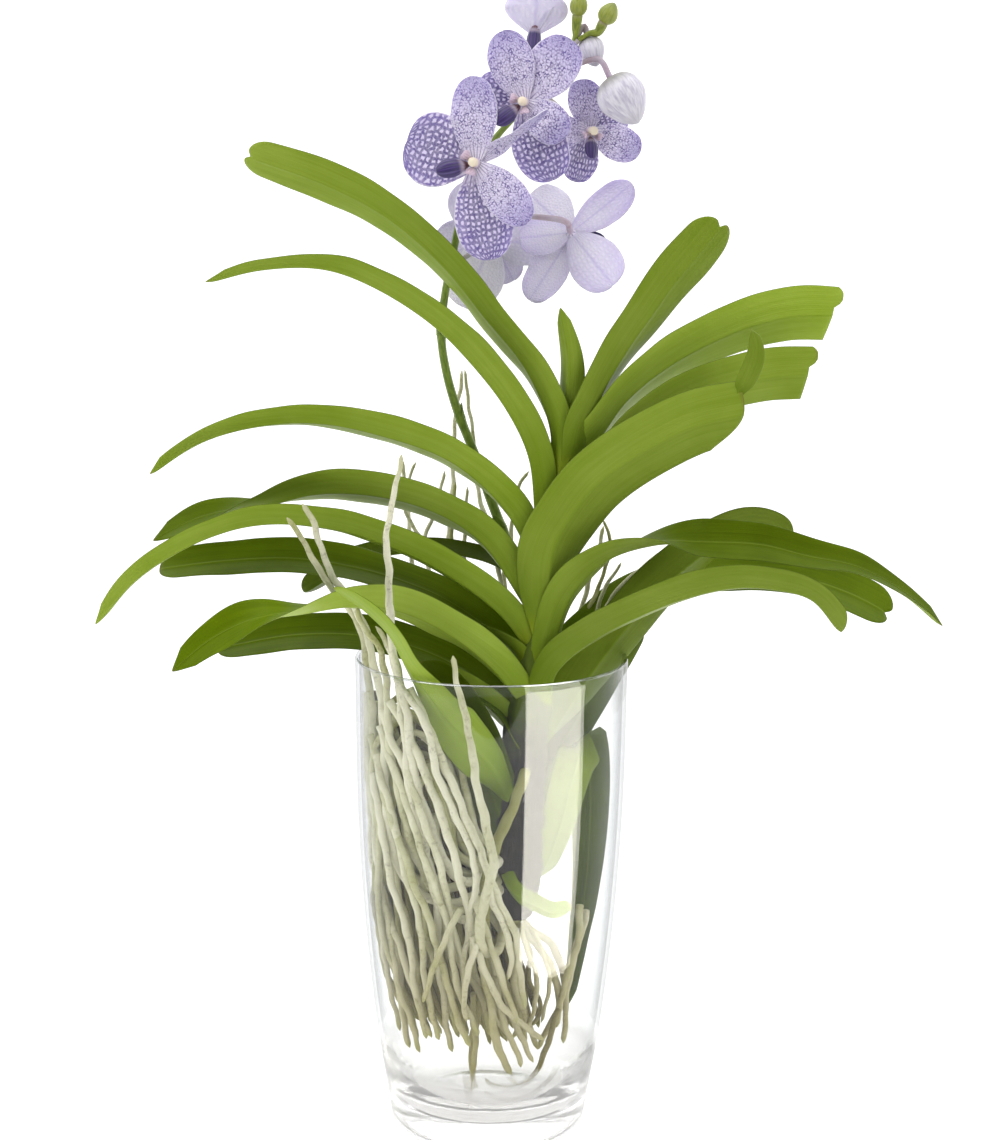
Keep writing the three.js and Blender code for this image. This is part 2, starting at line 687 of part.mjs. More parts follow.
// A root of the bundle. share runs from 0 at the bundle's left edge to 1 at its right edge. On the
// right a root hangs straight down from the stem. On the left it first climbs the bundle's slanting
// side and turns over near the glass.
function hangingRoot(index, random) {
  const share = (index + 0.5) / HANGING_ROOTS;
  const depth = ((index * 0.618 + 0.4) % 1) * 2 - 1;
  const radius = lerp(...ROOT_RADIUS, random());
  const bundleX = (z, across) => lerp(between(BUNDLE_LEFT, z), between(BUNDLE_RIGHT, z), across);
  const line = [[12, -7, lerp(165, 138, share)]];
  let top = 150;
  if (share < CLIMBING_SHARE) {
    top = lerp(252, 196, share / CLIMBING_SHARE) - 14 * random();
    const climb = 1 - 0.6 * share;
    for (const z of [lerp(150, top, 0.3), lerp(150, top, 0.8)]) {
      line.push([bundleX(z, climb), BUNDLE_DEPTH * 0.4 * depth, z]);
    }
    line.push([bundleX(top, (climb + share) / 2), BUNDLE_DEPTH * 0.55 * depth, top + 4]);
    line.push([bundleX(top, share) + 3, BUNDLE_DEPTH * 0.65 * depth, top - 14]);
  } else {
    line.push([bundleX(top, share), BUNDLE_DEPTH * 0.3 * depth, top - 16]);
  }
  const end = 43 + 9 * random();
  for (const fall of [0.4, 0.72, 1]) {
    const z = lerp(top, end, fall);
    const wander = 5 * (random() - 0.5);
    line.push([bundleX(z, share) + wander, BUNDLE_DEPTH * lerp(0.95, 0.6, fall) * depth - wander, z]);
  }
  const clear = line.map((p) => insideGlass(p, radius));
  const steps = Math.ceil(smoothLine(clear).getLength() / ROOT_STEP);
  return tube(clear, (t) => radius * lerp(1, 0.55, t ** 6), steps, ROOT_SIDES);
}

function rootsSolid() {
  const random = seeded(11);
  const hanging = Array.from({ length: HANGING_ROOTS }, (_, i) => hangingRoot(i, random));
  const single = Object.values(SINGLE_ROOTS).map(({ line, radius }) => {
    const clear = line.map((p) => insideGlass(p, radius[0]));
    const steps = Math.ceil(smoothLine(clear).getLength() / ROOT_STEP);
    return tube(clear, (t) => lerp(...radius, t ** 3), steps, ROOT_SIDES);
  });
  return joined([...hanging, ...single]);
}

// ---------------------------------------------------------------- flower spike

// The half width of a tepal along its length, as a share of its widest.
function tepalOutline(s) {
  const widest = 0.62;
  if (s < widest) return lerp(0.2, 1, Math.sin((Math.PI / 2) * (s / widest)));
  return Math.sqrt(1 - ((s - widest) / 0.45) ** 2);
}

// The middle surface of a tepal or lip: an arc that leaves the bloom's centre in its plane.
function tepalSurface(bloom, { kind, angle, length, width, lean, twist = 0 }, grow) {
  const facing = vec(bloom.facing).normalize();
  const seen = new THREE.Vector3(Math.sin(rad(angle)), 0, Math.cos(rad(angle)));
  const out = seen.clone().setY(-(seen.x * facing.x + seen.z * facing.z) / facing.y);
  const fullLength = length * out.length();
  out.normalize();
  const across = facing.clone().cross(out);
  const inset = kind === "lip" ? LIP_INSET : 0;
  const base = vec(bloom.centre).addScaledVector(facing, TEPAL_START[kind]).addScaledVector(out, inset);
  const first = rad(lean[0]);
  const bend = rad(lean[1] - lean[0]) || 1e-3;
  return (s, u) => {
    const t = s * (1 - 0.1 * u * u);
    const now = first + bend * t;
    const turned = rad(twist) * smoothstep(t, 0, 0.6);
    const normal = facing.clone().multiplyScalar(Math.cos(now)).addScaledVector(out, -Math.sin(now));
    const half = ((width + grow) / 2) * tepalOutline(s);
    const rise = TEPAL_CUP[kind] * half * u * u;
    const sideways = across.clone().multiplyScalar(Math.cos(turned)).addScaledVector(normal, Math.sin(turned));
    const raised = normal.clone().multiplyScalar(Math.cos(turned)).addScaledVector(across, -Math.sin(turned));
    return base
      .clone()
      .addScaledVector(out, (fullLength * (Math.sin(now) - Math.sin(first))) / bend)
      .addScaledVector(facing, (fullLength * (Math.cos(first) - Math.cos(now))) / bend)
      .addScaledVector(sideways, half * u)
      .addScaledVector(raised, rise);
  };
}

function tepalSolid(bloom, tepal, grow = 0) {
  const thickness = (s, u) => TEPAL_THICKNESS * (1 - 0.25 * Math.abs(u)) + grow;
  return sheet(tepalSurface(bloom, tepal, grow), TEPAL_STATIONS, TEPAL_COLUMNS, thickness);
}

// A straight peg along the way a bloom faces, from one distance to another.
function facingPeg(bloom, [from, to], radius, steps, sides) {
  const facing = vec(bloom.facing).normalize();
  const at = (d) => vec(bloom.centre).addScaledVector(facing, d).toArray();
  return tube([at(from), at((from + to) / 2), at(to)], radius, steps, sides);
}

// A bloom's five tepals, joined at their hub.
function tepalsSolid(bloom, grow = 0) {
  const ends = [HUB_ENDS[0] - grow, HUB_ENDS[1] + grow];
  const hub = facingPeg(bloom, ends, () => HUB_RADIUS + grow, 1, 6);
  return joined([hub, ...bloom.tepals.map((tepal) => tepalSolid(bloom, tepal, grow))]);
}

function columnSolid(bloom, grow = 0) {
  const from = HUB_ENDS[1] + GAP;
  const radius = (t) => COLUMN_RADIUS * (1 - 0.45 * t ** 3) + grow;
  const column = facingPeg(bloom, [from - grow, from + COLUMN_LENGTH + grow], radius, 2, 6);
  return grow ? column : cutClear(column, [tepalsSolid(bloom, 2 * GAP)]);
}

function lipSolid(bloom) {
  const lip = { kind: "lip", width: LIP_WIDTH * (bloom.lip.length / 20), lean: LIP_LEAN, ...bloom.lip };
  return cutClear(tepalSolid(bloom, lip), [tepalsSolid(bloom, 2 * GAP), columnSolid(bloom, GAP)]);
}

function budSolid({ centre, points, length, radius }, grow = 0) {
  const profile = BUD_PROFILE.map(
    ([r, h]) => new THREE.Vector2(r * (radius + grow), (h - 0.5) * (length + 2 * grow)),
  );
  const geometry = new THREE.LatheGeometry(profile, BUD_SIDES);
  const turn = new THREE.Quaternion().setFromUnitVectors(new THREE.Vector3(0, 1, 0), vec(points).normalize());
  geometry.applyQuaternion(turn);
  geometry.translate(...centre);
  return solid(geometry);
}

// The stalk from the spike to the back of a flower or the foot of a bud.
function pedicel(stalk, end, direction) {
  const curve = smoothLine(SPIKE);
  const start = curve.getPointAt(stalk);
  const approach = end.clone().addScaledVector(direction, -end.distanceTo(start) * 0.35);
  const leave = start.clone().lerp(approach, 0.5).addScaledVector(curve.getTangentAt(stalk), 2);
  const line = [start, leave, approach, end].map((p) => p.toArray());
  return tube(line, (t) => lerp(...PEDICEL_RADIUS, t), 3, 5);
}

function spikeSolid() {
  const stalk = tube(SPIKE, (t) => lerp(...SPIKE_RADIUS, t), SPIKE_STEPS, 6);
  const parts = [stalk];
  for (const bloom of Object.values(BLOOMS)) {
    const facing = vec(bloom.facing).normalize();
    const end = vec(bloom.centre).addScaledVector(facing, HUB_ENDS[0] - GAP);
    parts.push(pedicel(bloom.stalk, end, facing));
  }
  for (const bud of Object.values(BUDS)) {
    const way = vec(bud.points).normalize();
    const foot = vec(bud.centre).addScaledVector(way, -0.5 * bud.length - GAP);
    parts.push(pedicel(bud.stalk, foot, way));
  }
  return joined(parts);
}

// ---------------------------------------------------------------- assembly

const COLOURS = {
  glass: [0xdfe6e6, 0.05],
  leaf: [0x6f8f2a, 0.45],
  root: [0xc9cba6, 0.7],
  spike: [0x5f7a2e, 0.5],
  tepal: [0xb9aee0, 0.5],
  lip: [0x3a2a7a, 0.4],
  column: [0xefe3c8, 0.45],
  budPale: [0xdcdbe2, 0.5],
  budGreen: [0xa9bd45, 0.45],
};

const plant = new THREE.Group();

function addNode(name, body, [colour, roughness]) {
  const material = new THREE.MeshStandardMaterial({ color: colour, roughness, metalness: 0 });
  const mesh = new THREE.Mesh(geometryOf(body), material);
  mesh.name = name;
  plant.add(mesh);
}

addNode("vase", vaseSolid(), COLOURS.glass);
addNode("stem_and_roots", wholeBody(stemSolid().add(rootsSolid())), COLOURS.root);

// Each leaf is cut clear of the stem and of the sheaths below it, from the lowest node up.
const stemSpace = stemSolid(GAP);
const fromTheBase = Object.entries(LEAVES).sort(([, a], [, b]) => a.line[0][2] - b.line[0][2]);
const leafSpaces = [];
for (const [name, leaf] of fromTheBase) {
  addNode(name, cutClear(leafSolid(leaf), [stemSpace, ...leafSpaces]), COLOURS.leaf);
  leafSpaces.push(leafSolid(leaf, 2 * GAP));
}

const blooms = Object.values(BLOOMS);
const flowerSpaces = [
  ...blooms.map((bloom) => tepalsSolid(bloom, 2 * GAP)),
  ...Object.values(BUDS).map((bud) => budSolid(bud, GAP)),
];
addNode("flower_spike", cutClear(spikeSolid(), [stemSpace, ...leafSpaces, ...flowerSpaces]), COLOURS.spike);
for (const [name, bloom] of Object.entries(BLOOMS)) {
  addNode(name + "_tepals", wholeBody(tepalsSolid(bloom)), COLOURS.tepal);
  addNode(name + "_lip", lipSolid(bloom), COLOURS.lip);
  addNode(name + "_column", columnSolid(bloom), COLOURS.column);
}
for (const [name, bud] of Object.entries(BUDS)) {
  const colour = bud.radius > 6 ? COLOURS.budPale : COLOURS.budGreen;
  addNode(name, budSolid(bud), colour);
}

export default plant;
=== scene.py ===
"""A vanda orchid in a tall clear glass vase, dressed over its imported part.

Metres, +Z up. The origin is the centre of the vase's foot, -Y is the front and +X the right.
"""

import logging
import math
from collections.abc import Sequence
from dataclasses import dataclass, field
from enum import Enum

import bpy
import numpy as np
from mathutils import Matrix, Vector


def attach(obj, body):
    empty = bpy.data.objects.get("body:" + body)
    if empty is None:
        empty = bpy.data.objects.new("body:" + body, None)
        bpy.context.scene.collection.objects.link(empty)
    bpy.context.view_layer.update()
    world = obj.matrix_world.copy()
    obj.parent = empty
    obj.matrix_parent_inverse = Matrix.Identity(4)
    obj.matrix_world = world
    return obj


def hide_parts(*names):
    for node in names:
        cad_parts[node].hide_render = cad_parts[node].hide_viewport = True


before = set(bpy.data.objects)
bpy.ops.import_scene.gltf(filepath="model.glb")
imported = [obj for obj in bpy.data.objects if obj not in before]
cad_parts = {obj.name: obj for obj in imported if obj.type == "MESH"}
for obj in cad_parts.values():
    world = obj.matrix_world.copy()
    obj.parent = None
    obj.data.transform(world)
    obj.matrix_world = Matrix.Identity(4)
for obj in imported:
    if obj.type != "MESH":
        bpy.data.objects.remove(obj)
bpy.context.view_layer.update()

BODY = "root"
MM = 0.001
LEAF_SEED = 40
FLOWER_SEED = 100

log = logging.getLogger("orchid")

Pair = tuple[float, float]
Point = tuple[float, float, float]
Paint = tuple[float, float, float, float]
Faces = list[tuple[int, ...]]
Material = bpy.types.Material
Materials = list[Material]
Random = np.random.Generator
Array = np.ndarray
Socket = bpy.types.NodeSocket
Value = Socket | float
Colour = Socket | Paint


# ---- numbers and lines


def unit(vectors: Array | Sequence[float]) -> Array:
    """Vectors along the last axis, brought to length one."""
    v = np.asarray(vectors, float)
    return v / np.maximum(np.linalg.norm(v, axis=-1, keepdims=True), 1e-12)


def smooth(value: Array | float, low: float = 0.0, high: float = 1.0) -> Array:
    """A smooth step from 0 at low to 1 at high."""
    t = np.clip((np.asarray(value, float) - low) / (high - low), 0, 1)
    return t * t * (3 - 2 * t)


def mixed(a: Array | float, b: Array | float, share: Array | float) -> Array:
    """The value a share of the way from a to b."""
    return a + (b - a) * share


def rounded(value: Array, least: float = 0.0, power: float = 2.0) -> Array:
    """Falls like a quarter circle from 1 at 0 to the root of least at 1. A higher power falls later."""
    return np.sqrt(np.clip(1 - np.clip(value, 0, 1) ** power, least, 1))


def run(places: Array) -> Array:
    """How far each place is from the first, along the line through them."""
    return np.concatenate([[0.0], np.cumsum(np.linalg.norm(np.diff(places, axis=0), axis=1))])


def eased(values: Sequence[float], t: Array) -> Array:
    """Reads values given at even stations, smoothly and without overshoot.

    Args:
        values: The values at even stations from t = 0 to t = 1.
        t: Where to read them.

    Returns:
        A value for each t.
    """
    v = np.asarray(values, float)
    steps = np.diff(v)
    slopes = np.empty_like(v)
    slopes[0], slopes[-1] = steps[0], steps[-1]
    same_way = steps[:-1] * steps[1:] > 0
    total = np.where(same_way, steps[:-1] + steps[1:], 1)
    slopes[1:-1] = np.where(same_way, 2 * steps[:-1] * steps[1:] / total, 0)
    place = np.clip(t, 0, 1) * (len(v) - 1)
    i = np.minimum(place.astype(int), len(v) - 2)
    w = place - i
    rise = w * w * (3 - 2 * w)
    start = w * (1 - w) ** 2
    end = w * w * (w - 1)
    return v[i] + rise * (v[i + 1] - v[i]) + start * slopes[i] + end * slopes[i + 1]


def waves(rng: Random, t: Array, turns: Sequence[float]) -> Array:
    """A sum of sines with drawn phases, between about -1 and 1.

    Args:
        rng: Where the phases are drawn from.
        t: Where to read the sum.
        turns: How many full waves each sine makes as t goes from 0 to 1.

    Returns:
        A value for each t.
    """
    phases = rng.uniform(0, 2 * math.pi, len(turns))
    shares = 1 / np.arange(1, len(turns) + 1)
    sines = [share * np.sin(2 * math.pi * n * t + phase) for n, phase, share in zip(turns, phases, shares)]
    return sum(sines) / shares.sum()


class Course:
    """A smooth line through points, read by its share of the length."""

    SAMPLES = 24  # between two neighbouring points
    REACH = 0.004  # to either side of a place, for the direction there

    def __init__(self, points: Sequence[Point] | Array) -> None:
        """Draws a centripetal spline.

        Args:
            points: The points that it runs through.
        """
        self.points = np.asarray(points, float)
        self.places = self._sampled()
        self.lengths = run(self.places)
        self.length = float(self.lengths[-1])

    def _sampled(self) -> Array:
        """Follows the whole spline.

        Returns:
            Places close together along it.
        """
        p = self.points
        ends = np.vstack([2 * p[0] - p[1], p, 2 * p[-1] - p[-2]])
        w = np.linspace(0, 1, self.SAMPLES, endpoint=False)[:, None]
        rows = []
        for p0, p1, p2, p3 in zip(ends, ends[1:], ends[2:], ends[3:]):
            d0, d1, d2 = (math.sqrt(np.linalg.norm(b - a)) for a, b in ((p0, p1), (p1, p2), (p2, p3)))
            t1 = ((p1 - p0) / d0 - (p2 - p0) / (d0 + d1) + (p2 - p1) / d1) * d1
            t2 = ((p2 - p1) / d1 - (p3 - p1) / (d1 + d2) + (p3 - p2) / d2) * d1
            square = w**2 * (3 * (p2 - p1) - 2 * t1 - t2)
            rows.append(p1 + w * t1 + square + w**3 * (2 * (p1 - p2) + t1 + t2))
        return np.vstack([*rows, p[-1:]])

    def at(self, t: Array | float) -> Array:
        """The places at shares t of the length."""
        reach = np.clip(t, 0, 1) * self.length
        return np.stack([np.interp(reach, self.lengths, self.places[:, i]) for i in range(3)], -1)

    def heading(self, t: Array | float) -> Array:
        """The unit directions at shares t of the length."""
        t = np.asarray(t, float)
        return unit(self.at(np.minimum(t + self.REACH, 1)) - self.at(np.maximum(t - self.REACH, 0)))


def carried_frames(headings: Array) -> tuple[Array, Array]:
    """Two directions across a line at each of its stations, carried along without twist.

    Args:
        headings: The line's unit direction at each station.

    Returns:
        The two directions, each with one row a station.
    """
    first = np.cross(headings[0], (0.0, 1.0, 0.0))
    if np.linalg.norm(first) < 0.2:
        first = np.cross(headings[0], (1.0, 0.0, 0.0))
    rows = [unit(first)]
    for heading in headings[1:]:
        rows.append(unit(rows[-1] - heading * np.dot(rows[-1], heading)))
    normals = np.array(rows)
    return normals, np.cross(headings, normals)


# ---- meshes


@dataclass
class Skin:
    """The points and faces of one piece, with what its finish reads at each point.

    lay holds metres across, metres along, and the face (1 upper or outer, 0 under). mark holds the
    share across (-1 to 1), the share along (0 to 1), and the tint drawn for that part (0 to 1).
    """

    name: str
    points: list[Array] = field(default_factory=list)
    lay: list[Array] = field(default_factory=list)
    mark: list[Array] = field(default_factory=list)
    faces: Faces = field(default_factory=list)
    finishes: list[int] = field(default_factory=list)
    count: int = 0

    def add(self, points: Array, faces: Faces, lay: Array, mark: Array, finish: int = 0) -> None:
        """Adds one closed body, with its faces turned outwards.

        Args:
            points: One row a point.
            faces: The point numbers of each face.
            lay: One row a point.
            mark: One row a point.
            finish: The number of the material on these faces.
        """
        triangles = np.array([(f[0], f[k], f[k + 1]) for f in faces for k in range(1, len(f) - 1)])
        corners = points[triangles] - points.mean(0)
        volume = np.einsum("ij,ij->i", corners[:, 0], np.cross(corners[:, 1], corners[:, 2])).sum()
        way = 1 if volume >= 0 else -1
        self.faces += [tuple(i + self.count for i in face[::way]) for face in faces]
        self.finishes += [finish] * len(faces)
        self.points.append(points)
        self.lay.append(lay)
        self.mark.append(mark)
        self.count += len(points)

    def sheet(
        self, middle: Array, normal: Array, half: Array, across: Array, along: Array,
        shares: tuple[Array, Array], tint: float, finish: int = 0,
    ) -> None:
        """Adds a thin closed sheet whose two faces meet in a rounded edge.

        Args:
            middle: The middle surface, as rows x columns x 3.
            normal: The upper side's direction at each of its points.
            half: Half the thickness at each point. The first and last column have none.
            across: Metres across at each point.
            along: Metres along at each point.
            shares: The share across and the share along at each point.
            tint: The tint drawn for the sheet.
            finish: The number of its material.
        """
        rows, columns = middle.shape[:2]
        back = slice(columns - 2, 0, -1)
        upper = middle + normal * half[..., None]
        under = middle - normal * half[..., None]
        face = np.where(half > 0, 1.0, 0.5)
        points = np.concatenate([upper, under[:, back]], 1)
        ring = points.shape[1]

        def round_about(values: Array) -> Array:
            """Values at each point of the upper face, then of the under face."""
            return np.concatenate([values, values[:, back]], 1).reshape(-1)

        faces_up = np.concatenate([face, np.zeros_like(face[:, back])], 1).reshape(-1)
        lay = np.stack([round_about(across), round_about(along), faces_up], -1)
        tints = np.full(rows * ring, tint)
        mark = np.stack([round_about(shares[0]), round_about(shares[1]), tints], -1)
        faces = ring_faces(rows, ring)
        for row, way in ((0, -1), (rows - 1, 1)):
            for i in range(columns - 1):
                corners = (i, i + 1, ring - i - 1, (ring - i) % ring)
                face_points = list(dict.fromkeys(row * ring + c % ring for c in corners))
                faces.append(tuple(face_points[::way]))
        self.add(points.reshape(-1, 3), faces, lay, mark, finish)

    def rings(
        self, surface: Array, ends: Array, across: Array, face: Array, share: Array, length: float,
        tint: float = 0.5, finish: int = 0,
    ) -> None:
        """Adds closed rings, with a point at each end.

        Args:
            surface: The rings, as rows x sides x 3.
            ends: The two end points.
            across: Metres across at each point of the rings.
            face: The face at each point of the rings.
            share: The share along of each ring.
            length: How long they are from end to end.
            tint: The tint drawn for them.
            finish: The number of their material.
        """
        shape = surface.shape[:2]
        along = np.broadcast_to(share[:, None], shape)
        turn = np.broadcast_to(2 * np.arange(shape[1]) / shape[1] - 1, shape)
        lay = np.stack([across, along * length, face], -1).reshape(-1, 3)
        mark = np.stack([turn, along, np.full(shape, tint)], -1).reshape(-1, 3)
        lay = np.vstack([lay, (0, 0, 1), (0, length, 1)])
        mark = np.vstack([mark, (0, 0, tint), (0, 1, tint)])
        self.add(np.vstack([surface.reshape(-1, 3), ends]), capped_faces(*shape), lay, mark, finish)

    def tube(
        self, places: Array, headings: Array, radii: Array, sides: int, tint: float = 0.5,
        finish: int = 0, flutes: tuple[int, float] = (0, 0.0),
    ) -> None:
        """Adds a closed tube with a point at each end.

        Args:
            places: The middle of each station.
            headings: The unit direction at each station.
            radii: The radius at each station.
            sides: How many sides it has.
            tint: The tint drawn for the tube.
            finish: The number of its material.
            flutes: How many ridges run along it, and their height as a share of the radius.
        """
        first, second = carried_frames(headings)
        angles = 2 * math.pi * np.arange(sides) / sides
        swell = 1 + flutes[1] * np.cos(flutes[0] * angles)
        ring = np.cos(angles)[:, None] * first[:, None] + np.sin(angles)[:, None] * second[:, None]
        surface = places[:, None] + ring * (radii[:, None] * swell)[..., None]
        reach = run(places)
        across = radii[:, None] * np.sin(angles)
        share = reach / reach[-1]
        self.rings(surface, places[[0, -1]], across, np.ones_like(across), share, reach[-1], tint, finish)

    def piece(self, finishes: Materials, node: str) -> bpy.types.Object:
        """Makes the piece, and lets it stand for its CAD node.

        Args:
            finishes: Its materials.
            node: The CAD node that it stands for, alone or with other pieces.

        Returns:
            The piece.
        """
        mesh = bpy.data.meshes.new(self.name)
        mesh.from_pydata(np.concatenate(self.points), [], self.faces)
        for label, rows in (("lay", self.lay), ("mark", self.mark)):
            values = np.concatenate(rows).astype(np.float32).reshape(-1)
            mesh.attributes.new(label, "FLOAT_VECTOR", "POINT").data.foreach_set("vector", values)
        for material in finishes:
            mesh.materials.append(material)
        mesh.polygons.foreach_set("material_index", np.array(self.finishes, np.int32))
        mesh.polygons.foreach_set("use_smooth", np.ones(len(self.faces), bool))
        mesh.update()
        made = bpy.data.objects.new(self.name, mesh)
        bpy.context.scene.collection.objects.link(made)
        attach(made, BODY)
        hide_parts(node)
        log.info("%s: %d points, %d faces", self.name, self.count, len(self.faces))
        return made


def ring_faces(rows: int, ring: int) -> Faces:
    """The four-sided faces between neighbouring closed rings.

    Args:
        rows: How many rings there are.
        ring: How many points each has.

    Returns:
        The point numbers of each face.
    """
    start = (np.arange(rows - 1) * ring)[:, None]
    here = np.arange(ring)[None]
    ahead = (here + 1) % ring
    quads = np.stack([start + here, start + ahead, start + ahead + ring, start + here + ring], -1)
    return [tuple(q) for q in quads.reshape(-1, 4).tolist()]


def capped_faces(rows: int, ring: int) -> Faces:
    """The faces of closed rings with a fan at each end, round two points that follow the rings'.

    Args:
        rows: How many rings there are.
        ring: How many points each has.

    Returns:
        The point numbers of each face.
    """
    faces = ring_faces(rows, ring)
    last, foot = (rows - 1) * ring, rows * ring
    for i in range(ring):
        j = (i + 1) % ring
        faces += [(foot, j, i), (foot + 1, last + i, last + j)]
    return faces


def surface_normals(surface: Array) -> Array:
    """The unit normals of a surface given as rows x columns x 3, along crossed with across."""
    return unit(np.cross(np.gradient(surface, axis=0), np.gradient(surface, axis=1)))


# ---- finishes


def srgb(red: float, green: float, blue: float) -> Paint:
    """A colour named in 0 to 255 screen values, as the linear light that a shader takes."""
    screen = np.array([red, green, blue]) / 255
    return (*np.where(screen <= 0.04045, screen / 12.92, ((screen + 0.055) / 1.055) ** 2.4).tolist(), 1.0)


class Graph:
    """The node tree of a material or of the surround, written in short calls."""

    def __init__(self, name: str, surround: bool = False) -> None:
        """Starts an empty tree.

        Args:
            name: The name of what the tree belongs to.
            surround: Whether that is the surround, and not a material.
        """
        self.owner = (bpy.data.worlds if surround else bpy.data.materials).new(name)
        self.owner.use_nodes = True
        self.tree = self.owner.node_tree
        self.tree.nodes.clear()

    def node(self, kind: str, inputs: dict | None = None, **settings: object) -> bpy.types.Node:
        """Adds a node.

        Args:
            kind: The node's type, without ShaderNode.
            inputs: What its inputs get, by name or number: a socket, or a plain value.
            **settings: The node's own settings.

        Returns:
            The node.
        """
        made = self.tree.nodes.new("ShaderNode" + kind)
        for key, value in settings.items():
            setattr(made, key, value)
        for key, value in (inputs or {}).items():
            if isinstance(value, Socket):
                self.tree.links.new(value, made.inputs[key])
            else:
                made.inputs[key].default_value = value
        return made

    def math(self, operation: str, *values: Value, clamp: bool = False) -> Socket:
        """The result of one Math node."""
        return self.node("Math", dict(enumerate(values)), operation=operation, use_clamp=clamp).outputs[0]

    def times(self, a: Value, b: Value) -> Socket:
        """The product of two values."""
        return self.math("MULTIPLY", a, b)

    def plus(self, a: Value, b: Value) -> Socket:
        """The sum of two values."""
        return self.math("ADD", a, b)

    def step(self, value: Socket, low: float, high: float) -> Socket:
        """A smooth step of value, 0 at low and 1 at high. High may be the lower of the two."""
        inputs = {0: value, 1: low, 2: high, 3: 0.0, 4: 1.0}
        return self.node("MapRange", inputs, interpolation_type="SMOOTHSTEP").outputs[0]

    def mix(self, share: Value, a: Colour, b: Colour) -> Socket:
        """Two colours mixed by a share."""
        return self.node("Mix", {0: share, 6: a, 7: b}, data_type="RGBA").outputs[2]

    def wash(self, colour: Colour, over: Colour, where: Socket, most: float) -> Socket:
        """A colour with another laid over it, by the share most where the value where is 1."""
        return self.mix(self.times(where, most), colour, over)

    def parts(self, vector: Socket) -> tuple[Socket, Socket, Socket]:
        """The three numbers of a vector."""
        return tuple(self.node("SeparateXYZ", {0: vector}).outputs)

    def read(self, name: str) -> tuple[Socket, Socket, Socket]:
        """The three numbers of one of the mesh's own values, lay or mark."""
        return self.parts(self.node("Attribute", attribute_name=name).outputs["Vector"])

    def vector(self, x: Value, y: Value, z: Value = 0.0) -> Socket:
        """A vector from three numbers."""
        return self.node("CombineXYZ", {0: x, 1: y, 2: z}).outputs[0]

    def place(self) -> Socket:
        """The place in the part's own frame, in metres."""
        return self.node("TexCoord").outputs["Object"]

    def drawn_out(self, share: float) -> Socket:
        """The place with its height taken at a share, which draws clouds out upwards."""
        return self.node("Mapping", {0: self.place(), 3: (1.0, 1.0, share)}).outputs[0]

    def height(self) -> Socket:
        """The height above the floor, in metres."""
        return self.parts(self.place())[2]

    def noise(self, vector: Socket, scale: float, detail: float = 2.0, roughness: float = 0.5) -> Socket:
        """A cloudy value from 0 to 1."""
        inputs = {"Vector": vector, "Scale": scale, "Detail": detail, "Roughness": roughness}
        return self.node("TexNoise", inputs).outputs[0]

    def cloud(self, scale: float, detail: float = 3.0, roughness: float = 0.6) -> Socket:
        """A cloudy value from 0 to 1 that is read at the place."""
        return self.noise(self.place(), scale, detail, roughness)

    def bump(self, height: Socket, distance: float, strength: float = 1.0) -> Socket:
        """A normal bent by a height, whose full range stands for distance in metres."""
        return self.node("Bump", {"Strength": strength, "Distance": distance, "Height": height}).outputs[0]

    def finish(self, colour: Colour, roughness: Value, normal: Socket | None, **more: object) -> Material:
        """Ends a material in one Principled shader.

        Args:
            colour: Its base colour.
            roughness: Its roughness.
            normal: Its bent normal, where it has one.
            **more: What its other inputs get, with _ for each space.

        Returns:
            The material.
        """
        inputs = {key.replace("_", " "): value for key, value in more.items()}
        inputs |= {"Base Color": colour, "Roughness": roughness}
        if normal:
            inputs["Normal"] = normal
        shader = self.node("BsdfPrincipled", inputs)
        self.node("OutputMaterial", {0: shader.outputs[0]})
        return self.owner


def translucent(weight: float, radius: Point, scale: float) -> dict[str, object]:
    """What a Principled shader gets where light shines through a soft part, scale in millimetres."""
    return {"Subsurface_Weight": weight, "Subsurface_Radius": radius, "Subsurface_Scale": scale * MM}


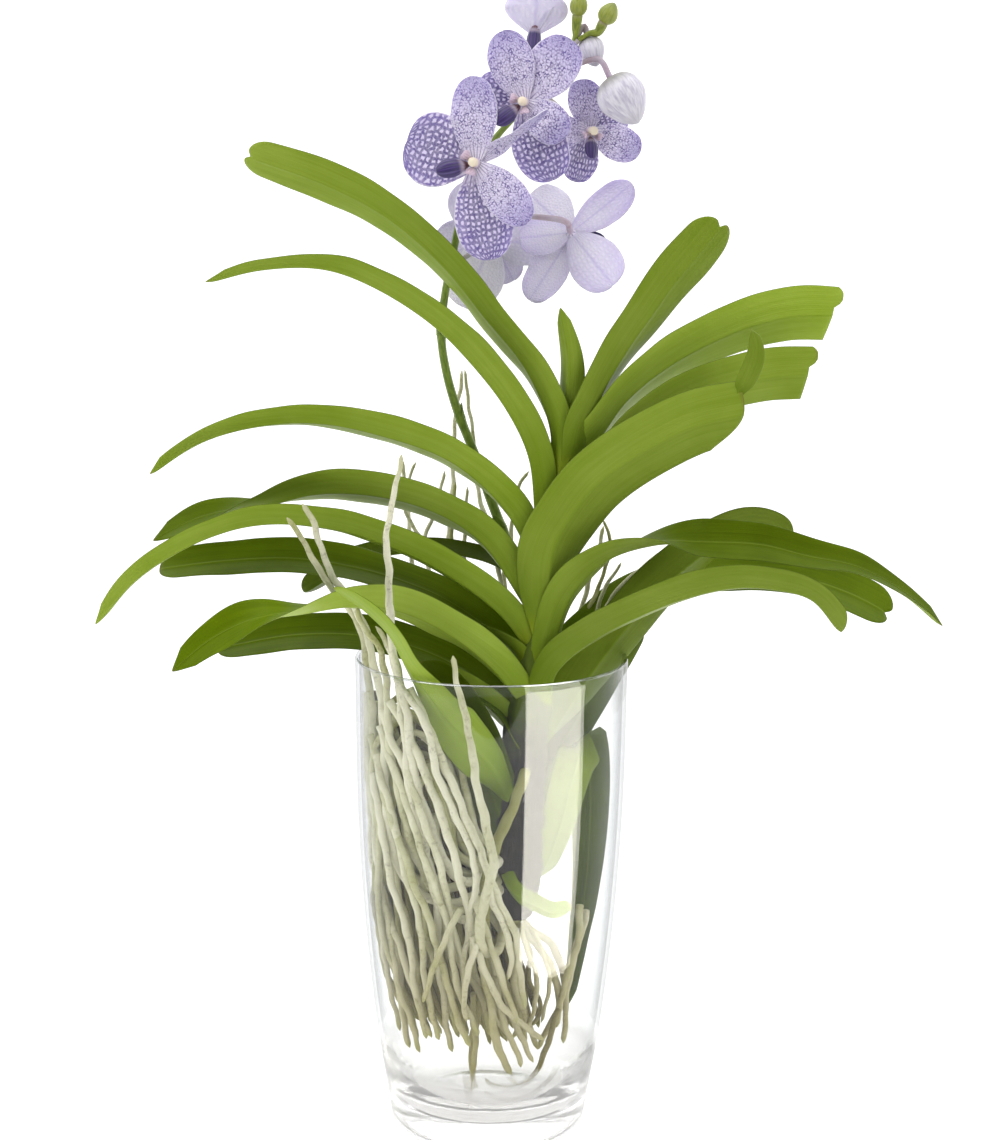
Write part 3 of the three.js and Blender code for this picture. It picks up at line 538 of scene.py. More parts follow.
@dataclass(frozen=True)
class LeafFinish:
    """A tough strap leaf: dark and glossy above, paler and yellower beneath, with fine veins.

    A tint past 1 bleaches the under face, and one below 0 paints it with shade, as dark as the upper one.
    """

    upper: Paint = srgb(92, 112, 8)
    upper_deep: Paint = srgb(64, 82, 0)
    under: Paint = srgb(141, 159, 64)
    under_deep: Paint = srgb(111, 134, 28)
    bleached: Paint = srgb(196, 204, 132)
    foot: Paint = srgb(140, 152, 30)
    base_shade: Paint = srgb(82, 106, 4)
    margin: Paint = srgb(60, 74, 30)
    dry: Paint = srgb(120, 104, 52)
    gloss: Paint = (0.85, 1.0, 0.4, 1.0)
    values: Pair = (0.76, 1.4)
    vein_pitch: float = 1.1 * MM
    vein_height: float = 0.05 * MM
    roughness: float = 0.34

    def material(self) -> Material:
        """Builds the material.

        Returns:
            The material.
        """
        g = Graph("leaf_green")
        across, along, face = g.read("lay")
        side, share, tint = g.read("mark")
        streaks = g.noise(g.vector(g.times(across, 700.0), g.times(along, 14.0), tint), 1.0, 3.0, 0.6)
        cloud = g.cloud(22.0, 3.0, 0.55)
        depth = g.step(g.math("MULTIPLY_ADD", cloud, 0.7, g.times(streaks, 0.55)), 0.15, 1.05)
        upper = g.mix(depth, self.upper, self.upper_deep)
        under = g.mix(depth, self.under, self.under_deep)
        under = g.mix(g.times(g.step(tint, 1.0, 2.0), g.step(share, 0.0, 0.2)), under, self.bleached)
        # Painted shade: a tint below 0 gives the under face the upper face's dark green.
        colour = g.mix(g.math("MAXIMUM", face, g.step(tint, 0.0, -0.2)), under, upper)
        # Painted light and shade: the tint sets each leaf's brightness, partly its own tone and partly how
        # brightly it is lit.
        value = g.node("MapRange", {0: tint, 3: self.values[0], 4: self.values[1]}).outputs[0]
        colour = g.node("HueSaturation", {"Value": value, "Color": colour}).outputs[0]
        # Painted shade: darker green on the lower part of the blade, where the leaves crowd round the stem.
        colour = g.wash(colour, self.base_shade, g.step(share, 0.3, 0.05), 0.55)
        colour = g.wash(colour, self.foot, g.step(share, 0.09, 0.0), 0.5)
        edge = g.math("ABSOLUTE", side)
        colour = g.wash(colour, self.margin, g.step(edge, 0.965, 0.995), 0.5)
        colour = g.wash(colour, g.mix(face, self.under_deep, self.under), g.step(edge, 0.06, 0.0), 0.28)
        dry_end = g.times(g.step(share, 0.985, 1.0), g.step(cloud, 0.4, 0.6))
        colour = g.wash(colour, self.dry, dry_end, 0.45)
        ridges = g.math("SINE", g.times(across, 2 * math.pi / self.vein_pitch))
        normal = g.bump(g.plus(g.times(ridges, 0.25), streaks), self.vein_height)
        rough = g.plus(self.roughness, g.times(cloud, 0.16))
        return g.finish(colour, rough, normal, Specular_IOR_Level=0.12, Specular_Tint=self.gloss)


@dataclass(frozen=True)
class RootFinish:
    """Velamen: a whitish, faintly green skin, chalky and streaked, with a fresh yellow-green tip.

    The higher a root's tint, the browner it is: older roots, and roots deep in the bundle as painted shade.
    """

    skin: Paint = srgb(224, 222, 197)
    skin_green: Paint = srgb(160, 162, 96)
    low: Paint = srgb(162, 152, 104)
    stain: Paint = srgb(100, 86, 44)
    old: Paint = srgb(72, 60, 24)
    tip: Paint = srgb(150, 152, 74)
    relief: float = 0.35 * MM
    roughness: float = 0.78

    def material(self) -> Material:
        """Builds the material.

        Returns:
            The material.
        """
        g = Graph("root_velamen")
        _, along, _ = g.read("lay")
        _, share, tint = g.read("mark")
        cloud = g.cloud(45.0)
        speck = g.cloud(420.0, 3.0, 0.65)
        green = g.plus(g.times(cloud, 0.75), g.times(tint, 0.6))
        colour = g.mix(g.step(green, 0.38, 1.0), self.skin, self.skin_green)
        # Painted shade: darker and browner towards the bottom of the vase, where the roots pack together.
        colour = g.wash(colour, self.low, g.step(g.height(), 0.18, 0.06), 0.75)
        # Old roots turn brown, and so do the roots given painted shade deep in the bundle.
        colour = g.mix(g.step(tint, 0.7, 1.5), colour, self.old)
        worn = g.times(g.step(speck, 0.5, 0.72), g.step(cloud, 0.36, 0.66))
        colour = g.wash(colour, self.stain, worn, 0.55)
        colour = g.wash(colour, self.tip, g.step(share, 0.93, 0.985), 0.45)
        rings = g.noise(g.vector(along, tint), 260.0, 2.0, 0.5)
        normal = g.bump(g.plus(speck, g.times(rings, 0.8)), self.relief)
        return g.finish(colour, self.roughness, normal, Specular_IOR_Level=0.3)


@dataclass(frozen=True)
class StemFinish:
    """An old stem: charcoal and rough below, turning green where the leaves clasp it."""

    bark: Paint = srgb(34, 32, 34)
    bark_worn: Paint = srgb(72, 66, 62)
    green: Paint = srgb(84, 100, 28)
    relief: float = 0.8 * MM
    roughness: float = 0.85

    def material(self) -> Material:
        """Builds the material.

        Returns:
            The material.
        """
        g = Graph("old_stem")
        _, share, _ = g.read("mark")
        fibres = g.noise(g.drawn_out(0.18), 520.0, 4.0, 0.7)
        cloud = g.cloud(60.0)
        colour = g.mix(g.step(fibres, 0.5, 0.72), self.bark, self.bark_worn)
        colour = g.mix(g.step(g.plus(share, g.times(cloud, 0.2)), 0.42, 0.62), colour, self.green)
        return g.finish(colour, self.roughness, g.bump(fibres, self.relief), Specular_IOR_Level=0.25)


@dataclass(frozen=True)
class SpikeFinish:
    """A flower stalk: green below, paler and washed with violet where the flowers stand."""

    green: Paint = srgb(118, 140, 46)
    deep: Paint = srgb(92, 114, 28)
    flush: Paint = srgb(196, 182, 202)
    pink: Paint = srgb(178, 146, 168)
    relief: float = 0.2 * MM
    roughness: float = 0.5

    def material(self, name: str, flushed: float) -> Material:
        """Builds the material.

        Args:
            name: Its name.
            flushed: How far it is washed with violet at its foot, 0 to 1. With 0 only its end is.

        Returns:
            The material.
        """
        g = Graph(name)
        _, along, _ = g.read("lay")
        side, share, tint = g.read("mark")
        cloud = g.cloud(90.0)
        streaks = g.noise(g.vector(side, g.times(along, 40.0), tint), 6.0, 2.0)
        green = g.mix(g.step(streaks, 0.35, 0.7), self.green, self.deep)
        violet = g.mix(g.step(cloud, 0.35, 0.7), self.flush, self.pink)
        if flushed:
            washed = g.math("MULTIPLY_ADD", share, 1.0 - flushed, flushed, clamp=True)
        else:
            washed = g.step(share, 0.86, 1.1)
        return g.finish(
            g.mix(washed, green, violet), self.roughness, g.bump(g.plus(streaks, cloud), self.relief),
            **translucent(0.1, (0.8, 0.8, 0.8), 1.0),
        )


@dataclass(frozen=True)
class TepalFinish:
    """A petal: lavender netted with violet in front, and pale with a violet vein behind.

    line is how wide the net's lines are and disorder how uneven its cells. faintest is how strong
    the net is where it is weakest, broken how much of it is missing, and blush how violet the end is.
    """

    name: str
    cells_across: float
    cell_length: float
    line: float
    disorder: float
    faintest: float = 0.75
    blush: float = 0.0
    broken: float = 0.2
    ground: Paint = srgb(224, 216, 240)
    net: Paint = srgb(58, 38, 110)
    net_pale: Paint = srgb(92, 72, 150)
    violet: Paint = srgb(122, 104, 190)
    back: Paint = srgb(243, 240, 250)
    back_vein: Paint = srgb(168, 150, 214)
    rim: Paint = srgb(236, 229, 246)
    relief: float = 0.25 * MM
    roughness: float = 0.5

    def net_lines(self, g: Graph, shift: Socket) -> tuple[Socket, Socket]:
        """Draws the net, bent, frayed and broken.

        Args:
            g: The material's tree.
            shift: The cloud that bends and fades the net.

        Returns:
            How strong the lines are, and the distance from them.
        """
        _, along, _ = g.read("lay")
        side, _, tint = g.read("mark")
        bend = g.times(g.math("SUBTRACT", shift, 0.5), 0.9)
        own = g.times(tint, 37.0)
        x = g.plus(g.plus(g.times(side, self.cells_across / 2), bend), own)
        y = g.plus(g.plus(g.math("DIVIDE", along, self.cell_length), bend), own)
        inputs = {"Vector": g.vector(x, y), "Scale": 1.0, "Randomness": self.disorder}
        net = g.node("TexVoronoi", inputs, feature="DISTANCE_TO_EDGE", voronoi_dimensions="2D")
        cells = net.outputs["Distance"]
        fuzz = g.times(g.math("SUBTRACT", g.cloud(900.0, 2.0), 0.5), 0.28)
        lines = g.step(g.plus(cells, fuzz), self.line + 0.1, self.line - 0.08)
        lines = g.times(lines, g.node("MapRange", {0: shift, 1: 0.3, 2: 0.6, 3: self.faintest}).outputs[0])
        gaps = g.times(g.step(g.cloud(760.0, 2.0), 0.58, 0.42), self.broken)
        return g.times(lines, g.math("SUBTRACT", 1.0, gaps)), cells

    def material(self) -> Material:
        """Builds the material.

        Returns:
            The material.
        """
        g = Graph(self.name)
        _, _, face = g.read("lay")
        side, share, tint = g.read("mark")
        edge = g.math("ABSOLUTE", side)
        shift = g.cloud(240.0, 2.0)
        lines, cells = self.net_lines(g, shift)
        deep = g.mix(g.step(edge, 0.35, 0.95), self.net, self.net_pale)
        faded = g.wash(deep, self.net_pale, g.step(shift, 0.35, 0.75), 0.6)
        front = g.wash(self.ground, faded, lines, 0.92)
        front = g.wash(front, self.violet, g.step(share, 0.45, 1.0), self.blush)
        rays = g.math("SINE", g.times(side, 22.0))
        base = g.wash(self.rim, self.net_pale, g.step(rays, 0.0, 1.0), 0.6)
        front = g.mix(g.step(share, 0.3, 0.08), front, base)
        front = g.wash(front, self.rim, g.step(edge, 0.95, 0.99), 0.7)
        back = g.wash(self.back, self.back_vein, g.step(edge, 0.12, 0.0), 0.25)
        back = g.wash(back, self.violet, lines, 0.12)
        washed = g.plus(g.times(g.step(edge, 0.3, 1.0), 0.3), g.times(g.step(share, 0.4, 0.0), 0.3))
        washed = g.times(g.plus(washed, g.times(share, 0.5)), tint)
        back = g.mix(washed, back, self.back_vein)
        return g.finish(
            g.mix(g.step(face, 0.2, 0.8), back, front), self.roughness,
            g.bump(g.step(cells, 0.0, 0.5), self.relief), Specular_IOR_Level=0.35, Sheen_Weight=0.2,
            Sheen_Roughness=0.5, **translucent(0.25, (1.0, 0.9, 1.1), 1.5),
        )


@dataclass(frozen=True)
class LipFinish:
    """The lip: deep blue-violet with darker keels, paler towards its red-brown foot."""

    name: str = "dark_violet_lip"
    deep: Paint = srgb(46, 26, 88)
    ridge: Paint = srgb(84, 62, 136)
    foot: Paint = srgb(206, 192, 206)
    throat: Paint = srgb(92, 30, 44)
    relief: float = 0.15 * MM
    roughness: float = 0.38

    def material(self) -> Material:
        """Builds the material.

        Returns:
            The material.
        """
        g = Graph(self.name)
        side, share, _ = g.read("mark")
        stripes = g.math("SINE", g.times(side, 16.0))
        colour = g.wash(self.deep, self.ridge, g.step(stripes, 0.2, 1.0), 0.55)
        colour = g.wash(colour, self.foot, g.step(share, 0.4, 0.24), 0.6)
        colour = g.wash(colour, self.throat, g.step(share, 0.26, 0.14), 0.9)
        soft = translucent(0.08, (0.5, 0.4, 1.0), 1.0)
        normal = g.bump(g.cloud(500.0, 2.0), self.relief)
        return g.finish(colour, self.roughness, normal, Sheen_Weight=0.3, **soft)


@dataclass(frozen=True)
class ColumnFinish:
    """The column: cream, with a red-brown throat under its cap."""

    cream: Paint = srgb(236, 224, 200)
    lilac: Paint = srgb(212, 194, 212)
    throat: Paint = srgb(92, 34, 42)
    relief: float = 0.1 * MM
    roughness: float = 0.42

    def material(self) -> Material:
        """Builds the material.

        Returns:
            The material.
        """
        g = Graph("cream_column")
        _, _, face = g.read("lay")
        _, share, _ = g.read("mark")
        cloud = g.cloud(700.0, 2.0)
        colour = g.mix(g.step(share, 0.45, 0.1), self.cream, self.lilac)
        ragged = g.plus(face, g.times(g.math("SUBTRACT", cloud, 0.5), 0.5))
        return g.finish(
            g.mix(g.step(ragged, 0.45, 0.25), colour, self.throat), self.roughness,
            g.bump(cloud, self.relief), **translucent(0.2, (1.0, 0.7, 0.5), 1.0),
        )


@dataclass(frozen=True)
class BudFinish:
    """A bud: one pale or green skin, darker along its seams and towards its tip, with painted shade towards
    its foot.
    """

    name: str
    skin: Paint
    shade: Paint
    seam: Paint
    tip: Paint
    foot: Paint
    relief: float = 0.12 * MM
    roughness: float = 0.45

    def material(self) -> Material:
        """Builds the material.

        Returns:
            The material.
        """
        g = Graph(self.name)
        _, along, seam = g.read("lay")
        side, share, tint = g.read("mark")
        cloud = g.cloud(120.0, 3.0, 0.55)
        streaks = g.noise(g.vector(g.times(side, 9.0), g.times(along, 60.0), tint), 3.0, 3.0)
        colour = g.mix(g.step(streaks, 0.35, 0.75), self.skin, self.shade)
        colour = g.wash(colour, self.seam, g.step(seam, 0.5, 0.0), 0.75)
        colour = g.wash(colour, self.tip, g.step(share, 0.72, 1.0), 0.6)
        # Painted shade: darker towards the foot, where the stalk shades the bud.
        colour = g.wash(colour, self.foot, g.step(share, 0.34, 0.06), 0.75)
        colour = g.wash(colour, self.shade, g.step(cloud, 0.55, 0.8), 0.25)
        soft = translucent(0.2, (1.0, 1.0, 0.9), 1.5)
        return g.finish(colour, self.roughness, g.bump(streaks, self.relief), **soft)


@dataclass(frozen=True)
class WallFinish:
    """A thin clear wall: it mirrors a little, more at its edges, where it is also painted grey as shade."""

    name: str = "clear_glass"
    clear: Paint = (0.99, 0.993, 0.992, 1.0)
    edge: Paint = (0.46, 0.48, 0.5, 1.0)
    mirrored: float = 0.026
    relief: float = 0.5 * MM
    low: Pair = (0.18, 0.07)

    def material(self) -> Material:
        """Builds the material.

        Returns:
            The material.
        """
        g = Graph(self.name)
        pull = g.noise(g.drawn_out(0.3), 22.0, 1.0, 0.4)
        ripples = g.times(g.cloud(80.0, 2.0, 0.5), g.step(g.height(), *self.low))
        normal = g.bump(g.plus(pull, g.times(ripples, 0.7)), self.relief, 0.4)
        facing = g.node("LayerWeight", {"Blend": 0.5, "Normal": normal}).outputs["Facing"]
        grazing = g.math("POWER", facing, 5.0)
        share = g.math("MULTIPLY_ADD", grazing, 1.0 - self.mirrored, self.mirrored, clamp=True)
        # Painted shade: the wall turns grey towards its edges, where thick glass looks darker.
        tint = g.mix(g.math("POWER", facing, 4.5), self.clear, self.edge)
        clear = g.node("BsdfTransparent", {0: tint}).outputs[0]
        mirror = g.node("BsdfGlossy", {"Roughness": 0.0, "Normal": normal}).outputs[0]
        g.node("OutputMaterial", {0: g.node("MixShader", {0: share, 1: clear, 2: mirror}).outputs[0]})
        return g.owner


@dataclass(frozen=True)
class FootFinish:
    """Thick clear glass, which bends what is seen through it, and fades into the thin wall above.

    Light for what is behind it passes straight on.
    """

    ior: float = 1.5
    colour: Paint = (0.87, 0.865, 0.86, 1.0)
    thin_colour: Paint = (0.96, 0.965, 0.962, 1.0)
    thins: Pair = (0.018, 0.042)
    straight: float = 0.08
    fades: Pair = (0.034, 0.0585)
    relief: float = 0.6 * MM

    def material(self) -> Material:
        """Builds the material.

        Returns:
            The material.
        """
        g = Graph("clear_glass_thick")
        inputs = {
            "Base Color": self.colour,
            "Roughness": 0.0,
            "IOR": self.ior,
            "Transmission Weight": 1.0,
            "Normal": g.bump(g.cloud(60.0, 2.0, 0.5), self.relief, 0.5),
        }
        glass = g.node("BsdfPrincipled", inputs).outputs[0]
        tint = g.mix(g.step(g.height(), *self.thins), self.colour, self.thin_colour)
        clear = g.node("BsdfTransparent", {0: tint}).outputs[0]
        path = g.node("LightPath").outputs
        straight = g.math("MAXIMUM", path["Is Shadow Ray"], path["Is Diffuse Ray"])
        straight = g.math("MAXIMUM", straight, self.straight)
        straight = g.math("MAXIMUM", straight, g.step(g.height(), *self.fades))
        g.node("OutputMaterial", {0: g.node("MixShader", {0: straight, 1: glass, 2: clear}).outputs[0]})
        return g.owner


# ---- vase


@dataclass
class Vase:
    """The clear glass vase, turned from one profile."""

    outside: tuple[Pair, ...] = (
        (0.054, 0.0), (0.057, 0.003), (0.0598, 0.018), (0.0655, 0.052),
        (0.0704, 0.09), (0.075, 0.138), (0.0784, 0.196), (0.08, 0.2856),
    )
    height: float = 0.2865
    wall: float = 0.0025
    floor: float = 0.016
    floor_dish: float = 0.0012
    bowl: Pair = (0.022, 0.036)
    foot_hollow: float = 0.0012
    foot_inset: float = 0.002
    heel: tuple[Pair, ...] = ((0.0012, 0.0004), (0.0026, 0.0016))
    heel_top: float = 0.0045
    foot_top: float = 0.06
    around: int = 160
    up_the_wall: int = 44

    def wall_radius(self, z: Array | float) -> Array:
        """The outer radius at heights z."""
        course = Course([(r, 0.0, z) for r, z in self.outside]).places
        return np.interp(z, course[:, 2], course[:, 0])

    def inner_radius(self, z: Array | float) -> Array:
        """The inner radius at heights z, which draws in where the floor rounds up into the wall."""
        below = np.clip((self.floor + self.bowl[1] - np.asarray(z)) / self.bowl[1], 0, 1)
        return self.wall_radius(z) - self.wall - self.bowl[0] * (1 - rounded(below))

    def profile(self) -> Array:
        """Draws the closed section, up the outside and down the inside.

        Returns:
            Radius and height, one row a point.
        """
        foot_ring = self.outside[0][0] - self.foot_inset
        under = np.linspace(0, 1, 8)
        bottom = np.stack([under * foot_ring, self.foot_hollow * (1 - smooth(under, 0.8, 1.0))], -1)
        heel = np.array(self.heel) + (foot_ring, 0.0)
        edge = self.wall / 2
        top = self.height - edge
        heights = mixed(self.heel_top, top, np.linspace(0, 1, self.up_the_wall))
        wall = np.stack([self.wall_radius(heights), heights], -1)
        turn = np.linspace(0, math.pi, 9)[1:-1]
        rim_centre = (self.outside[-1][0] - edge, top)
        rim = rim_centre + edge * np.stack([np.cos(turn), np.sin(turn)], -1)
        bowl_top = self.floor + self.bowl[1]
        down = mixed(top, bowl_top, np.linspace(0, 1, self.up_the_wall - 8))
        bend = np.sin(np.linspace(0, math.pi / 2, 20)[1:])
        down = np.concatenate([down, bowl_top - (self.bowl[1] - self.floor_dish) * bend])
        inside = np.stack([self.inner_radius(down), down], -1)
        inwards = np.linspace(1, 0, 12)[1:]
        dish = np.stack([inside[-1, 0] * inwards, self.floor + self.floor_dish * inwards**2], -1)
        return np.concatenate([bottom, heel, wall, rim, inside, dish])

    def build(self, finishes: Materials) -> bpy.types.Object:
        """Turns the profile round the axis.

        Args:
            finishes: The materials of the wall, of the thick foot and of the rim.

        Returns:
            The piece.
        """
        outline = self.profile()
        angles = 2 * math.pi * np.arange(self.around) / self.around
        radii, heights = outline[1:-1, :1], outline[1:-1, 1:]
        turned = np.stack([radii * np.cos(angles), radii * np.sin(angles), heights + 0 * angles], -1)
        points = np.vstack([turned.reshape(-1, 3), (0, 0, outline[0, 1]), (0, 0, outline[-1, 1])])
        skin = Skin("vase_glass")
        plain = np.zeros_like(points)
        skin.add(points, capped_faces(len(turned), self.around), plain, plain)
        rim_foot = self.height - 0.6 * self.wall
        levels = [points[list(face), 2] for face in skin.faces]
        skin.finishes = [1 if z.max() < self.foot_top else 2 if z.min() > rim_foot else 0 for z in levels]
        return skin.piece(finishes, "vase")


# ---- leaves


class Tip(Enum):
    """How a leaf ends: where it starts to narrow, and the share of its width that it ends with."""

    NOTCHED = (0.8, 0.78)
    POINTED = (0.35, 0.3)
    ROUND = (0.72, 0.8)
    CUT = (0.9, 0.96)


@dataclass
class Leaf:
    """One strap leaf, folded along its keel.

    line is the middle of the blade from its node to its tip, and width is measured opened flat, both
    in millimetres. channel is how many degrees each half rises from flat, at mid-length and at the
    tip. turn is how many degrees the upper face turns to the front, at even stations. stations are
    where the turn is taken in a blade that folds right over. taper is where it starts to narrow, and
    start_width the share of its width that it starts with. The upper strip of a cut end reaches
    corner widths further and ends in a rounded corner, and its lower corner is rounded off by
    rounding widths. A lobe is a second blade that grows from the same one.
    """

    name: str
    width: float
    channel: Pair
    turn: tuple[float, ...]
    tip: Tip
    tint: float
    line: list[Point]
    taper: float | None = None
    corner: float = 0.0
    rounding: float = 0.0
    start_width: float = 0.92
    clasping: bool = True
    stations: tuple[float, ...] = ()
    lobe: "Leaf | None" = None

    THICKNESS = 1.5 * MM
    EDGE_THINNING = 0.42
    KEEL_HEIGHT = 0.45 * MM
    KEEL_SHARE = 0.07
    EDGE_WAVE = (0.06, 0.7 * MM)  # how long and how high
    BODY_WAVE = (0.1, 0.5 * MM)
    SHEATH_LENGTH = 0.16
    SHEATH_ANGLES = (35.0, 85.0)
    SHEATH_SHIFT = 1.6 * MM
    ROWS = 84
    READS = 25
    ACROSS = (0.0, 0.03, 0.08, 0.16, 0.27, 0.4, 0.54, 0.68, 0.8, 0.89, 0.95, 0.985, 1.0)

    def tip_reach(self, u: Array) -> Array:
        """Shapes the tip.

        Args:
            u: The share across, -1 to 1.

        Returns:
            How far each column reaches past the line's end, in widths.
        """
        h = np.abs(u)
        if self.tip is Tip.ROUND:
            return -0.42 * (1 - rounded(h))
        if self.tip is Tip.POINTED:
            return -0.4 * h**1.6
        if self.tip is Tip.NOTCHED:
            lobe = 1 - rounded((h - 0.3) / 0.7)
            uneven = 0.05 * smooth(u, -0.2, 0.2)
            return np.where(h < 0.3, -0.09 * (1 - h / 0.3) ** 1.6, -0.4 * lobe) - uneven
        strip = smooth(u, 0.3, 0.46) - 0.9 * np.clip((u - 0.68) / 0.32, 0, 1) ** 2.5 - 1.25
        slant = 0.05 + 0.2 * self.corner
        return self.corner * strip - 0.02 + slant * u - self.rounding * np.clip(0.3 - u, 0, None) ** 2.2

    def spread(self, t: Array) -> Array:
        """Follows the blade's width.

        Args:
            t: Where to read it.

        Returns:
            The width at each t, as a share of its widest.
        """
        start, end_width = self.tip.value
        start = self.taper or start
        past = np.clip((t - start) / (1 - start), 0, 1)
        return mixed(self.start_width, 1, smooth(t, 0, 0.3)) * mixed(1, end_width, past**1.8)

    def _frames_at(self, course: Course, t: Array) -> tuple[Array, Array]:
        """Turns the blade about its line.

        Args:
            course: The blade's line.
            t: Where to read it.

        Returns:
            The direction to the front edge and the upper face's normal, at each t.
        """
        line = np.asarray(self.line)
        way = unit((line[-1] - line[0]) * (1, 1, 0))
        side = 1 if way[0] < 0 else -1
        front = np.array([-way[1], way[0], 0.0]) * side
        tangent = course.heading(t)
        across = unit(front - tangent * (tangent @ front)[..., None])
        up = np.cross(tangent, across) * side
        angle = np.radians(eased(self.turn, t))[..., None]
        to_front = across * np.cos(angle) - up * np.sin(angle)
        return to_front, up * np.cos(angle) + across * np.sin(angle)

    def frames(self, course: Course, t: Array) -> tuple[Array, Array]:
        """Turns the blade about its line, between the stations where it has them.

        Args:
            course: The blade's line.
            t: Where to read it.

        Returns:
            The direction to the front edge and the upper face's normal, at each t.
        """
        if not self.stations:
            return self._frames_at(course, t)
        stations = np.asarray(self.stations)
        tangent = course.heading(t)
        to_front, normal = (
            np.stack([np.interp(t, stations, held[:, i]) for i in range(3)], -1)
            for held in self._frames_at(course, stations)
        )
        to_front = unit(to_front - tangent * (to_front * tangent).sum(-1, keepdims=True))
        crossed = np.cross(tangent, to_front)
        return to_front, crossed * np.sign((crossed * normal).sum(-1, keepdims=True))

    def section(self, columns: Array, t: Array, opened: Array) -> tuple[Array, Array, Array]:
        """Folds the blade's section, by adding up small steps from the keel to each column.

        Args:
            columns: The share across of each column.
            t: The share along at each point.
            opened: How far the sheath has opened at each point.

        Returns:
            How far out each point lies, how far it rises, and its slope.
        """
        fold = mixed(self.channel[0], self.channel[1], smooth(t, 0.5, 1))
        inner = np.radians(mixed(self.SHEATH_ANGLES[0], fold * 0.8, opened))
        outer = np.radians(mixed(self.SHEATH_ANGLES[1], fold * 1.2, opened))
        h = np.abs(columns)
        reads = np.linspace(0, 1, self.READS) * h[:, None]
        angles = mixed(inner[..., None], outer[..., None], smooth(reads, 0.2, 0.8))
        angles = angles * smooth(reads, 0.0, 0.07)
        weights = np.ones(self.READS)
        weights[[0, -1]] = 0.5
        half_width = self.width * MM * self.spread(t) / 2
        step = h / (self.READS - 1)
        out = (np.cos(angles) * weights).sum(-1) * step * half_width
        rise = (np.sin(angles) * weights).sum(-1) * step * half_width
        middle = half_width * 0.25 * (np.sin(inner) + np.sin(outer)) + self.SHEATH_SHIFT * (1 - opened)
        return np.sign(columns) * out, rise - middle, np.sign(columns) * angles[..., -1]

    def grow(self, skin: Skin, rng: Random) -> None:
        """Adds the blade to a skin.

        Args:
            skin: The skin that it joins.
            rng: Where its small waves are drawn from.
        """
        course = Course(np.array(self.line) * MM)
        columns = np.array([-u for u in self.ACROSS[:0:-1]] + list(self.ACROSS))
        s = np.linspace(0, 1, self.ROWS) ** 0.92
        reach = self.tip_reach(columns) * self.width * MM / course.length
        t = np.clip(s[:, None] * (1 + reach), 0, 1)
        to_front, normal = self.frames(course, t)
        opened = smooth(t, 0, 2 * self.SHEATH_LENGTH) if self.clasping else np.ones_like(t)
        out, rise, slope = self.section(columns, t, opened)
        h = np.abs(columns)
        along = t * course.length
        edge_wave = waves(rng, along / self.EDGE_WAVE[0], (0.7, 1.3, 2.1)) * self.EDGE_WAVE[1] * h**2
        body_wave = waves(rng, along / self.BODY_WAVE[0], (0.6, 1.1)) * self.BODY_WAVE[1]
        rise = rise + (edge_wave + body_wave) * opened
        places = course.at(t) + to_front * out[..., None] + normal * rise[..., None]
        facing = normal * np.cos(slope)[..., None] - to_front * np.sin(slope)[..., None]
        body = self.THICKNESS * (1 - self.EDGE_THINNING * h) / 2
        body = body + self.KEEL_HEIGHT * np.exp(-((h / self.KEEL_SHARE) ** 2))
        half = body * rounded(h, power=10) * rounded((s - 0.97) / 0.03, 0.02)[:, None]
        skin.sheet(places, facing, half, out, along, (np.broadcast_to(columns, t.shape), t), self.tint)
        if self.lobe:
            self.lobe.grow(skin, rng)

    def build(self, finish: Material, seed: int) -> None:
        """Makes the leaf's piece.

        Args:
            finish: Its material.
            seed: What its small waves are drawn from.
        """
        skin = Skin(self.name + "_blade")
        self.grow(skin, np.random.default_rng(seed))
        skin.piece([finish], self.name)
